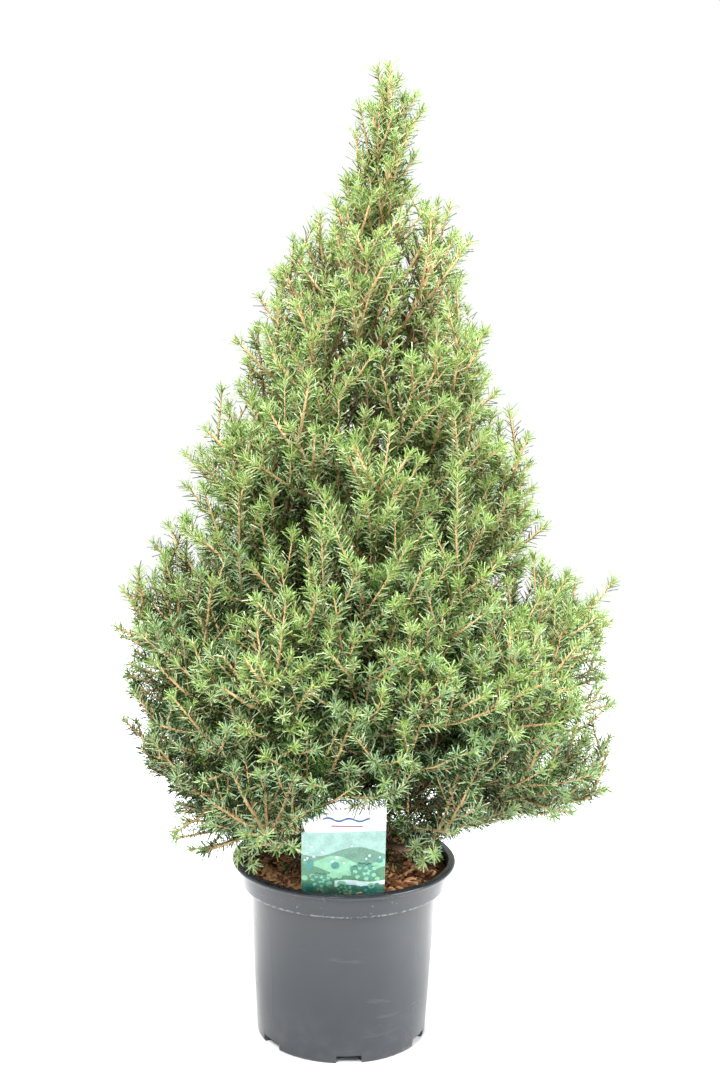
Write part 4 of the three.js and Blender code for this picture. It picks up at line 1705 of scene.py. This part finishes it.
    def slender(self) -> Shoots:
        """Slender limbs that the trunk bears between the whorls, at the golden angle round it.

        Each reaches nearly to the crown's outline at the height of its tip. A few more stand in the
        valleys between the whorls' limbs.

        Returns:
            The limbs as shoots, without those that would leave the free room.
        """
        number = np.arange(self.slender_limbs)
        share = (number + 0.5) / self.slender_limbs
        root_height = mix(*self.slender_roots, share ** self.slender_crowding)
        azimuth = math.radians(self.slender_start) + number * GOLDEN_TURN
        rise = np.interp(root_height, self.slender_heights, self.slender_rises)
        rise_change = self.draw.uniform(-self.slender_rise_change, self.slender_rise_change, len(number))
        reach = self.draw.uniform(*self.slender_reach, len(number))
        drawn = np.stack([azimuth, root_height, root_height + rise + rise_change, reach], axis=-1)
        valleys = np.array(self.valleys)
        valleys[:, 0] = np.radians(valleys[:, 0])
        azimuth, root_height, tip_height, reach = np.concatenate([drawn, valleys]).T
        out = np.stack([np.cos(azimuth), np.sin(azimuth), np.zeros(len(azimuth))], axis=-1)
        root, centre = self.habit.trunk_centre(root_height), self.habit.trunk_centre(tip_height)
        _, outline = self.habit.crown(centre + out * self.sight_length)
        reach = outline * reach
        middle = root + out * (reach * self.habit.bend_out)[:, None] + UP * (
            (tip_height - root_height) * self.habit.bend_up)[:, None]
        lines = Curves(root, middle, centre + out * reach[:, None])
        steps = np.linspace(*self.slender_checked, self.slender_checks)
        checked = lines.at(np.tile(steps, (len(azimuth), 1)))
        free = self.clearance.shown(checked, self.slender_room).all(axis=1)
        return Shoots.along(lines.take(np.flatnonzero(free)), self.slender_bare, self.slender_radius,
                            self.stem_tip_radius)

    def twigs(self) -> Shoots:
        """Twigs round each stem by the limb's own draws, each with a shorter one across from it.

        Returns:
            The twigs, shortened until their tips lie within the crown.
        """
        grown: list[tuple[Array, Array, float]] = []
        for limb in self.limbs:
            whorl, draws = limb.whorl, limb.draws
            angle = FULL_TURN * draws.next()
            for index in range(whorl.twigs):
                along = index / (whorl.twigs - 1)
                share = np.array([[mix(whorl.bough, 1.0, mix(*self.twig_stretch, along))]])
                change = 1 + self.twig_length_change * draws.around_zero()
                spread = math.radians(whorl.spread + self.twig_spread_change * draws.around_zero())
                angle += GOLDEN_TURN
                length = mix(whorl.longest, whorl.shortest, along) * change
                root = limb.line.at(share)[0, 0]
                for turn, part in ((0.0, 1.0), (math.pi, self.between)):
                    heading = limb.line.leaning(share, np.array([[spread]]), np.array([[angle + turn]]))
                    grown.append((root, heading[0, 0], length * part))
        root, heading, length = (np.array(column) for column in zip(*grown))
        lines = self.fitted(root, heading, length, self.twig_lift, self.twig_shortest, self.twig_margin)
        return Shoots.along(lines, self.twig_bare, self.twig_root_radius, self.twig_tip_radius)

    def side_shoots(self, parents: Shoots, bearer: Bearer) -> Shoots:
        """Side shoots at even steps along parent shoots, at the golden angle round them.

        One is longer near its parent's root: share times the parent's length, less a taper, plus a
        fixed extra. The higher in the crown, the more they turn up.

        Args:
            parents: the shoots they stand on.
            bearer: what kind of shoots those are.

        Returns:
            The new shoots, shortened until their tips lie within the crown.
        """
        order, first, last, pitch, shortest, longest = bearer.value
        margin, root_radius = order.value
        length = parents.lines.length()
        count = np.maximum((length * (last - first) / pitch).astype(int), 1)
        rows, number = dealt(count)
        share = mix(first, last, (number + 0.5) / count[rows])[:, None]
        angle = number * GOLDEN_TURN + self.draw.uniform(0, FULL_TURN, len(length))[rows]
        change = self.side_spread_change * self.draw.uniform(-1, 1, len(rows))
        spread = np.radians(self.side_spread + change)
        lines = parents.lines.take(rows)
        root = lines.at(share)[:, 0]
        heading = lines.leaning(share, spread[:, None], angle[:, None])[:, 0]
        turned_up = self.side_rise * smooth_step(root[:, 2], *self.side_rise_heights)
        heading = unit(heading + UP * turned_up[:, None])
        wanted = self.side_share * length[rows] * (1 - self.side_taper * share[:, 0]) + self.side_extra
        wanted = np.clip(wanted, shortest, longest) * self.draw.uniform(*self.side_change, len(rows))
        grown = self.fitted(root, heading, wanted, self.side_lift, self.side_shortest, margin)
        return Shoots.along(grown, self.side_bare, root_radius, self.side_tip_radius)

    def fitted(self, root: Array, heading: Array, length: Array, lift: float, least: float,
               margin: float) -> Curves:
        """Shortens shoots until their tips lie within the crown, and leaves out those that can't.

        Args:
            root: where they start.
            heading: which way they start.
            length: how long each is wanted.
            lift: how much they bend up.
            least: the shortest that is kept.
            margin: how far inside the crown's outline most tips stay.

        Returns:
            The fitted curves.
        """
        length = length.copy()
        kept_in = margin - self.draw.exponential(self.stray, len(length))
        lines = sprouts(root, heading, length, lift)
        while (outside := self.beyond(lines.tip, kept_in) & (length > least)).any():
            length[outside] *= self.shrink
            lines = sprouts(root, heading, length, lift)
        steps = np.tile(np.linspace(0, 1, self.shoot_checks), (len(length), 1))
        free = self.clearance.shown(lines.at(steps), self.shoot_room).all(axis=1)
        return lines.take(np.flatnonzero((length > least) & free))

    def beyond(self, tip: Array, margin: Array) -> Array:
        """Whether tips lie outside the crown's outline, drawn in by a margin, or outside the box."""
        return ~self.habit.inside(tip, margin) | ~self.clearance.in_box(tip)

    def outer(self, shoots: Shoots) -> Array:
        """How far each shoot belongs to the crown's outer layer, from 0 to 1."""
        return smooth_step(self.habit.depth(shoots.lines.tip), *self.outer_depths)

    def needle_rows(self, shoots: Shoots) -> tuple[Array, Array, Array, Array]:
        """Deals needles out along shoots, with a denser tuft on the last stretch.

        Args:
            shoots: the shoots that bear them.

        Returns:
            For each needle its shoot's row, its share of the shoot, its number, and whether it is in a
            tuft.
        """
        length, first, outer = shoots.lines.length(), shoots.first_needle, self.outer(shoots)
        height = shoots.lines.tip[:, 2]
        thin = smooth_step(height, *self.thin_above) * (1 - smooth_step(height, *self.thin_below))
        dense = mix(self.inner_needles_per_mm, self.needles_per_mm, outer) * (1 - self.top_thinning * thin)
        body = np.maximum((length * (1 - first) * dense).astype(int), self.least_needles)
        tuft = np.round(mix(self.inner_tuft_needles, self.tuft_needles, outer)).astype(int)
        rows, number = dealt(body + tuft)
        in_tuft = number >= body[rows]
        along = (number + self.draw.uniform(0, 1, len(rows))) / body[rows]
        late = (number - body[rows] + 0.5) / tuft[rows]
        tuft_start = 1 - np.minimum(self.tuft_length / length, self.longest_tuft)
        share = np.where(in_tuft, mix(tuft_start[rows], 1.0, late), mix(first[rows], 1.0, along))
        return rows, np.clip(share, 0, 1), number, in_tuft

    def needles(self, shoots: Shoots) -> tuple[Array, Array, Array]:
        """Needles on shoots: slim four-faced blades that lean forward, more so near the tip.

        A blade runs from an edge across its base to a shorter edge at right angles to that at its end.

        Args:
            shoots: the shoots that bear them.

        Returns:
            The four points of each needle, its shoot's row and whether it is on the young tip.
        """
        rows, share, number, in_tuft = self.needle_rows(shoots)
        lines, draw, count = shoots.lines.take(rows), self.draw, len(rows)
        share = share[:, None]
        turn = draw.uniform(-self.needle_turn_change, self.needle_turn_change, count)
        angle = number * GOLDEN_TURN + turn
        spread = np.where(in_tuft, mix(*self.tuft_spread, draw.uniform(0, 1, count) ** self.tuft_crowding),
                          mix(*self.needle_spread, share[:, 0]))
        spread = np.radians(spread + draw.normal(0, self.needle_spread_change, count))
        heading = lines.leaning(share, spread[:, None], angle[:, None])[:, 0]
        heading = unit(heading + UP * self.needle_rise)
        length = (self.needle_length * draw.uniform(*self.needle_length_change, count)
                  * np.where(in_tuft, self.tuft_share, 1.0))
        width = (self.needle_width * draw.uniform(*self.needle_width_change, count)
                 * np.where(in_tuft, self.tuft_width, 1.0))
        width *= mix(self.inner_width, 1.0, self.outer(shoots))[rows]
        base = lines.at(share)[:, 0]
        level = unit(np.cross(heading, UP + 0.01))
        roll = draw.uniform(0, math.pi, count)[:, None]
        side = np.cos(roll) * level + np.sin(roll) * np.cross(heading, level)
        across = np.cross(heading, side)
        wide, narrow = side * width[:, None] / 2, across * (width * self.tip_width / 2)[:, None]
        end = base + heading * length[:, None]
        points = np.stack([base - wide, base + wide, end - narrow, end + narrow], axis=1)
        middle = base + heading * (length * self.needle_middle)[:, None]
        free = (self.clearance.free(points[:, 3], self.needle_room)
                & self.clearance.free(middle, self.needle_room))
        late = (1 - share[:, 0]) * shoots.lines.length()[rows] < self.young_length
        return points[free], rows[free], (in_tuft | late)[free]

    def tones(self, shoots: Shoots, rows: Array, fresh: Array) -> Array:
        """Deals a tone to each needle by painted light and shade from its shoot's place in the crown.

        Shoots near the outline, high up, by the hem and to the right are painted lit and have fresh tips,
        low ones are blue, and the inside is painted shade. Each needle then steps lighter or darker at
        random, for painted highlights and shadows between needles.

        Args:
            shoots: the shoots.
            rows: each needle's shoot.
            fresh: whether it is on the shoot's young tip.

        Returns:
            The tone's number for each needle.
        """
        side, height = shoots.lines.tip[:, 0], shoots.lines.tip[:, 2]
        draw = self.draw
        # Painted light and shade: lighter towards the outline, high up, at the crest, by the hem and to the
        # right
        light = (self.habit.depth(shoots.lines.tip) + self.habit.depth(shoots.lines.middle)) / 2
        light += draw.normal(0, self.light_change, len(light))
        light += self.top_light * smooth_step(height, *self.top_light_heights)
        light += self.crest_light * smooth_step(height, *self.crest_heights)
        light += self.hem_light * (1 - smooth_step(height, *self.hem_heights))
        light += self.side_light * side - self.low_shade
        low = height + draw.normal(0, self.blue_change, len(light)) < self.blue_below
        body = np.digitize(light, self.body_limits).astype(float)
        young = np.digitize(light, self.young_limits).astype(float)
        # Each needle steps lighter or darker at random, for painted highlights and shadows between needles
        change = draw.choice(self.step_changes, len(rows), p=self.change_shares)
        darker = np.minimum(change, 0) * (draw.uniform(0, 1, len(rows)) < self.tip_change_share)
        steps = [Tone.SHADE, Tone.DEEP, Tone.LEAF, Tone.BRIGHT, Tone.FRESH]
        lightest = np.where(fresh, steps.index(Tone.FRESH), steps.index(Tone.BRIGHT))
        step = np.where(fresh, young[rows] + darker, body[rows] + change)
        step = np.clip(step, 0, lightest).astype(int)
        blue = low[rows] & (step >= steps.index(Tone.LEAF)) & (
            ~fresh | (draw.uniform(0, 1, len(rows)) < self.tip_blue_share))
        order = list(Tone)
        numbers = np.array([order.index(one) for one in steps])
        return np.where(blue, order.index(Tone.BLUE), numbers[step])

    def bark_surface(self, shoots: Shoots) -> Surface:
        """Thin three-sided tubes along shoots, tapering from root to tip.

        Args:
            shoots: the shoots.

        Returns:
            The closed tubes.
        """
        count = len(shoots.lines.root)
        share = np.tile(np.linspace(0, 1, self.shoot_rings), (count, 1))
        radius = mix(shoots.root_radius[:, None], shoots.tip_radius[:, None], share)[..., None]
        points = shoots.lines.rings(share, self.shoot_sides, radius)
        each = self.shoot_rings * self.shoot_sides
        return Surface(points, many(tube_faces(self.shoot_rings, self.shoot_sides), count, each))

    def build(self) -> list[Object]:
        """Grows the shoots and makes pieces for each tone of needles and for each age of bark.

        Returns:
            The pieces.
        """
        stems, twigs, slender, top = self.stems(), self.twigs(), self.slender(), self.trunk_top()
        fillers = self.side_shoots(slender, Bearer.SLENDER_LIMB)
        bearers = ((self.boughs(), Bearer.BOUGH), (top, Bearer.TRUNK_TOP), (twigs, Bearer.TWIG),
                   (stems, Bearer.STEM), (fillers, Bearer.FILLER))
        grown = [stems, twigs, slender, fillers, top,
                 *(self.side_shoots(parents, bearer) for parents, bearer in bearers)]
        log.info("metres of shoots: %.1f", sum(one.lines.length().sum() for one in grown) * MM)
        blades: list[Array] = []
        tones: list[Array] = []
        for shoots in grown:
            points, rows, fresh = self.needles(shoots)
            blades.append(points)
            tones.append(self.tones(shoots, rows, fresh))
        points, tone = np.concatenate(blades), np.concatenate(tones)
        pieces = []
        for number, kind in enumerate(Tone):
            pieces += self.build_tone(kind, points[tone == number])
        return pieces + [self.build_bark(age, grown) for age in Age]

    def build_tone(self, kind: Tone, points: Array) -> list[Object]:
        """Makes the needles of one tone, in as many pieces as keep each under its limit.

        Args:
            kind: the tone.
            points: four points for each needle.

        Returns:
            The pieces.
        """
        color, other, roughness, gloss = kind.value
        name = f"needles_{kind.name.lower()}"
        finish = GrownFinish(name, color, other, patch_scale=140.0, roughness=roughness, specular=gloss,
                             grain_scale=1200.0).build()
        blade = [np.array([[0, 1, 2], [0, 3, 1], [1, 3, 2], [2, 3, 0]])]
        nodes = [f"foliage_{limb.name}" for limb in self.limbs]
        pieces = []
        for part in np.array_split(points, math.ceil(len(points) / self.most_needles)):
            surface = Surface(part.reshape(-1, 3), many(blade, len(part), 4))
            title = name if len(points) <= self.most_needles else f"{name}_{len(pieces) + 1}"
            piece = make_piece(title, surface, finish, smooth=False)
            pieces.append(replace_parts(piece, *nodes))
        return pieces

    def build_bark(self, age: Age, grown: list[Shoots]) -> Object:
        """Makes the bark of the shoots of one age: young near the outline and at the top, old inside.

        Args:
            age: the age.
            grown: the shoots.

        Returns:
            The piece.
        """
        surfaces: list[Surface] = []
        for shoots in grown:
            tip = shoots.lines.tip
            young = (self.habit.depth(tip) > self.young_depth) | (tip[:, 2] > self.young_above)
            rows = np.flatnonzero(young if age is Age.YOUNG else ~young)
            if len(rows):
                surfaces.append(self.bark_surface(shoots.keep(rows)))
        color, other, roughness, gloss, relief, depth = age.value
        name = age.name.lower()
        finish = GrownFinish(f"{name}_shoot_bark", color, other, patch_scale=90.0, roughness=roughness,
                             specular=gloss, grain_scale=1600.0, grain_stretch=3.0, relief=relief,
                             relief_depth=depth)
        return make_piece(f"shoots_{name}", join(surfaces), finish.build())


# Trunk and boughs


@dataclass
class Wood:
    """The trunk and the boughs, with their bark's relief in the mesh."""

    habit: Habit
    limbs: list[Limb]
    trunk_rings: int = 280
    trunk_sides: int = 28
    trunk_crowding: float = 1.3
    bough_rings: int = 34
    bough_sides: int = 10
    bough_overlap: float = 0.01
    plate_depth: float = 0.085
    plate_heights: Span = (-1.1, 0.55)
    root_count: int = 5
    root_depth: float = 0.16
    root_turn: float = 0.6
    root_height: float = 10.0
    collar_depth: float = 0.35
    collar_length: float = 9.0
    bough_shift: float = 7.0

    def relief(self, around: Array, along: Array) -> Array:
        """Bark scales as a share of the radius: crossed sine waves bent by a slower one, cut off above.

        The scales are 5 round the axis and 16 mm high, and ridges of 9 round it wind up across them.

        Args:
            around: angles round the axis.
            along: millimetres along it.

        Returns:
            A factor near 1 for the radius.
        """
        bend = 1.7 * np.sin(along / 11 + 2 * np.sin(around))
        scales = np.sin(5 * around + bend) * np.sin(along / 2.6 + 3 * np.sin(2 * around + along / 17))
        ridges = 0.4 * np.sin(9 * around - along / 6 + bend)
        return 1 + self.plate_depth * np.clip(scales + ridges, *self.plate_heights)

    def trunk(self) -> Surface:
        """The trunk: level rings on its centre line, of its radius times relief times a swell at the roots.

        The rings stand closer near the foot, and the swell is 1 + depth cos(count a) exp(-rise / height).

        Returns:
            The closed surface, cut level at the foot.
        """
        share = np.linspace(0, 1, self.trunk_rings) ** self.trunk_crowding
        height = mix(self.habit.foot, self.habit.trunk_tip, share)
        around, along = np.meshgrid(even_angles(self.trunk_sides), height)
        fade = np.exp(-(along - self.habit.foot) / self.root_height)
        roots = 1 + self.root_depth * np.cos(self.root_count * around + self.root_turn) * fade
        radius = self.habit.trunk_radius(along) * self.relief(around, along)
        centre = self.habit.trunk_centre(height)[:, None]
        ring = np.stack([np.cos(around), np.sin(around), np.zeros_like(around)], axis=-1)
        points = centre + ring * (radius * roots)[..., None]
        return Surface(points.reshape(-1, 3), tube_faces(self.trunk_rings, self.trunk_sides))

    def bough(self, limb: Limb) -> Surface:
        """A bough: rings along its limb from inside the trunk to where its foliage begins.

        A ring's radius is a straight taper times a collar, 1 + depth exp(-way / length), times relief.

        Args:
            limb: the limb that it starts.

        Returns:
            The closed surface.
        """
        share = np.linspace(0.0, limb.whorl.bough + self.bough_overlap, self.bough_rings)
        way = share * limb.line.length()[0]
        around, along = np.meshgrid(even_angles(self.bough_sides), way)
        taper = mix(limb.whorl.root_radius, self.habit.limb_tip_radius, share)
        collar = 1 + self.collar_depth * np.exp(-way / self.collar_length)
        relief = self.relief(around, along + self.bough_shift * limb.line.root[0, 2])
        points = limb.line.rings(share[None], self.bough_sides, (taper * collar)[:, None] * relief)
        return Surface(points, tube_faces(self.bough_rings, self.bough_sides))

    def build(self) -> list[Object]:
        """Makes the trunk and the boughs and dresses both in bark.

        Returns:
            Both pieces.
        """
        bark = GrownFinish("scaly_bark", (0.19, 0.12, 0.075), (0.11, 0.066, 0.042), patch_scale=70.0,
                           roughness=0.85, specular=0.3, grain_scale=520.0, grain_stretch=2.5, relief=0.7,
                           relief_depth=0.0008).build()
        trunk = make_piece("trunk_bark", self.trunk(), bark)
        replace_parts(trunk, "trunk")
        bearing = [limb for limb in self.limbs if limb.whorl.bough > 0]
        boughs = make_piece("bough_bark", join([self.bough(limb) for limb in bearing]), bark)
        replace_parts(boughs, *[f"bough_{limb.name}" for limb in bearing])
        return [trunk, boughs]


# Floor, light and camera


def stand(item: Object, right: Sequence[float], up: Sequence[float], back: Sequence[float],
          place: Sequence[float]) -> None:
    """Turns an object's own axes to its right, up and back, and moves it to its place."""
    rows = [(right[axis], up[axis], back[axis], place[axis]) for axis in range(3)]
    item.matrix_world = Matrix([*rows, (0, 0, 0, 1)])


@dataclass(frozen=True)
class SoftBox:
    """A square soft light: its place and width in metres and its power in watts."""

    name: str
    place: tuple[float, float, float]
    width: float
    power: float

    def hang(self, aim: tuple[float, float, float]) -> None:
        """Hangs the light and turns it to face a point.

        Args:
            aim: the point.
        """
        data = bpy.data.lights.new(self.name, "AREA")
        data.shape = "SQUARE"
        data.size = self.width
        data.energy = self.power
        back = unit(-(np.array(aim) - np.array(self.place)))
        right = unit(np.cross(UP, back))
        stand(new_object(self.name, data), right, np.cross(back, right), back, self.place)


@dataclass
class Studio:
    """A pale floor, soft white light and the camera, in metres and degrees."""

    camera_place: tuple[float, float, float] = (0.0098, -1.711, 0.812)
    camera_down: float = 10.43
    camera_roll: float = 1.1
    lens: float = 60.6
    sensor: float = 36.0
    seen: Span = (0.05, 60.0)
    floor_rings: Numbers = (0.0, 0.2, 0.5, 1.0, 2.0)
    floor_sides: int = 64
    floor_color: Color = (0.93, 0.93, 0.93)
    floor_fade: float = 0.985
    floor_patches: Ramp = (0.4, 0.6, 0.0, 1.0)
    floor_patch_scale: float = 2.0
    floor_roughness: float = 0.55
    sky_strength: float = 0.68
    light_aim: tuple[float, float, float] = (0.0, 0.0, 0.45)
    lights: tuple[SoftBox, ...] = (
        SoftBox("key_light", (-0.9, -2.1, 2.5), 1.1, 136.0),
        SoftBox("fill_light", (2.2, -0.8, 1.5), 1.4, 78.0),
        SoftBox("top_light", (0.2, 0.2, 2.5), 1.2, 105.0),
        SoftBox("back_light", (-0.6, 2.3, 1.9), 1.5, 50.0),
    )

    def camera(self) -> None:
        """Stands the camera: it looks along +Y, down by an angle, and rolls about its own axis."""
        data = bpy.data.cameras.new("camera")
        data.lens = self.lens
        data.sensor_width = self.sensor
        data.clip_start, data.clip_end = self.seen
        camera = new_object("camera", data)
        down, roll = math.radians(self.camera_down), math.radians(self.camera_roll)
        sine, cosine = math.sin(roll), math.cos(roll)
        right = (cosine, math.sin(down) * sine, math.cos(down) * sine)
        up = (-sine, math.sin(down) * cosine, math.cos(down) * cosine)
        stand(camera, right, up, (0.0, -math.cos(down), math.sin(down)), self.camera_place)
        bpy.context.scene.camera = camera

    def floor(self) -> None:
        """Lays a large pale disc under the pot: points at (radius cos a, radius sin a, 0) on its rings."""
        angle = even_angles(self.floor_sides)
        radius = np.array(self.floor_rings)[:, None]
        flat = np.stack([radius * np.cos(angle), radius * np.sin(angle), 0 * radius * angle], axis=-1)
        ring, side = np.meshgrid(np.arange(len(radius) - 1), np.arange(self.floor_sides), indexing="ij")
        here = ring * self.floor_sides + side
        beside = ring * self.floor_sides + (side + 1) % self.floor_sides
        faces = np.stack([here, here + self.floor_sides, beside + self.floor_sides, beside], axis=-1)
        mesh = bpy.data.meshes.new("floor")
        mesh.from_pydata(flat.reshape(-1, 3).tolist(), [], faces.reshape(-1, 4).tolist())
        material, graph, place, shader = new_material("pale_floor")
        share = graph.ramp(graph.noise(place, self.floor_patch_scale), *self.floor_patches)
        faded = tuple(channel * self.floor_fade for channel in self.floor_color)
        graph.feed(shader, {
            "Base Color": graph.blend(share, opaque(self.floor_color), opaque(faded)),
            "Roughness": self.floor_roughness,
        })
        mesh.materials.append(material)
        floor = new_object("floor", mesh)

    def surroundings(self) -> None:
        """Makes the room plain white for the camera and a little dimmer as a light."""
        world = bpy.data.worlds.new("white_room")
        world.use_nodes = True
        graph = Graph(world.node_tree)
        seen = graph.node("ShaderNodeLightPath").outputs["Is Camera Ray"]
        strength = graph.node("ShaderNodeMapRange", {0: seen, 3: self.sky_strength, 4: 1.0}).outputs[0]
        room = graph.node("ShaderNodeBackground", {"Color": opaque((1.0, 1.0, 1.0)), "Strength": strength})
        graph.node("ShaderNodeOutputWorld", {"Surface": room.outputs[0]})
        bpy.context.scene.world = world
        bpy.context.scene.view_settings.view_transform = "Standard"

    def build(self) -> None:
        """Sets the white surroundings, the floor, the lights and the camera."""
        self.surroundings()
        self.floor()
        for light in self.lights:
            light.hang(self.light_aim)
        self.camera()


def main() -> None:
    """Builds every sub-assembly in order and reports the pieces."""
    logging.basicConfig(level=logging.INFO, format="%(name)s: %(message)s")
    Studio().build()
    pot, card = Pot(), LabelCard()
    pieces = [pot.build(), *GrowingMedium(pot).build(), *card.build()]
    habit = Habit()
    limbs = habit.limbs()
    pieces += Wood(habit, limbs).build()
    pieces += Foliage(habit, Clearance(pot, card), limbs).build()
    total = sum(len(piece.data.loops) - 2 * len(piece.data.polygons) for piece in pieces)
    log.info("%d pieces, %d triangles", len(pieces), total)


if __name__ == "__main__":
    main()
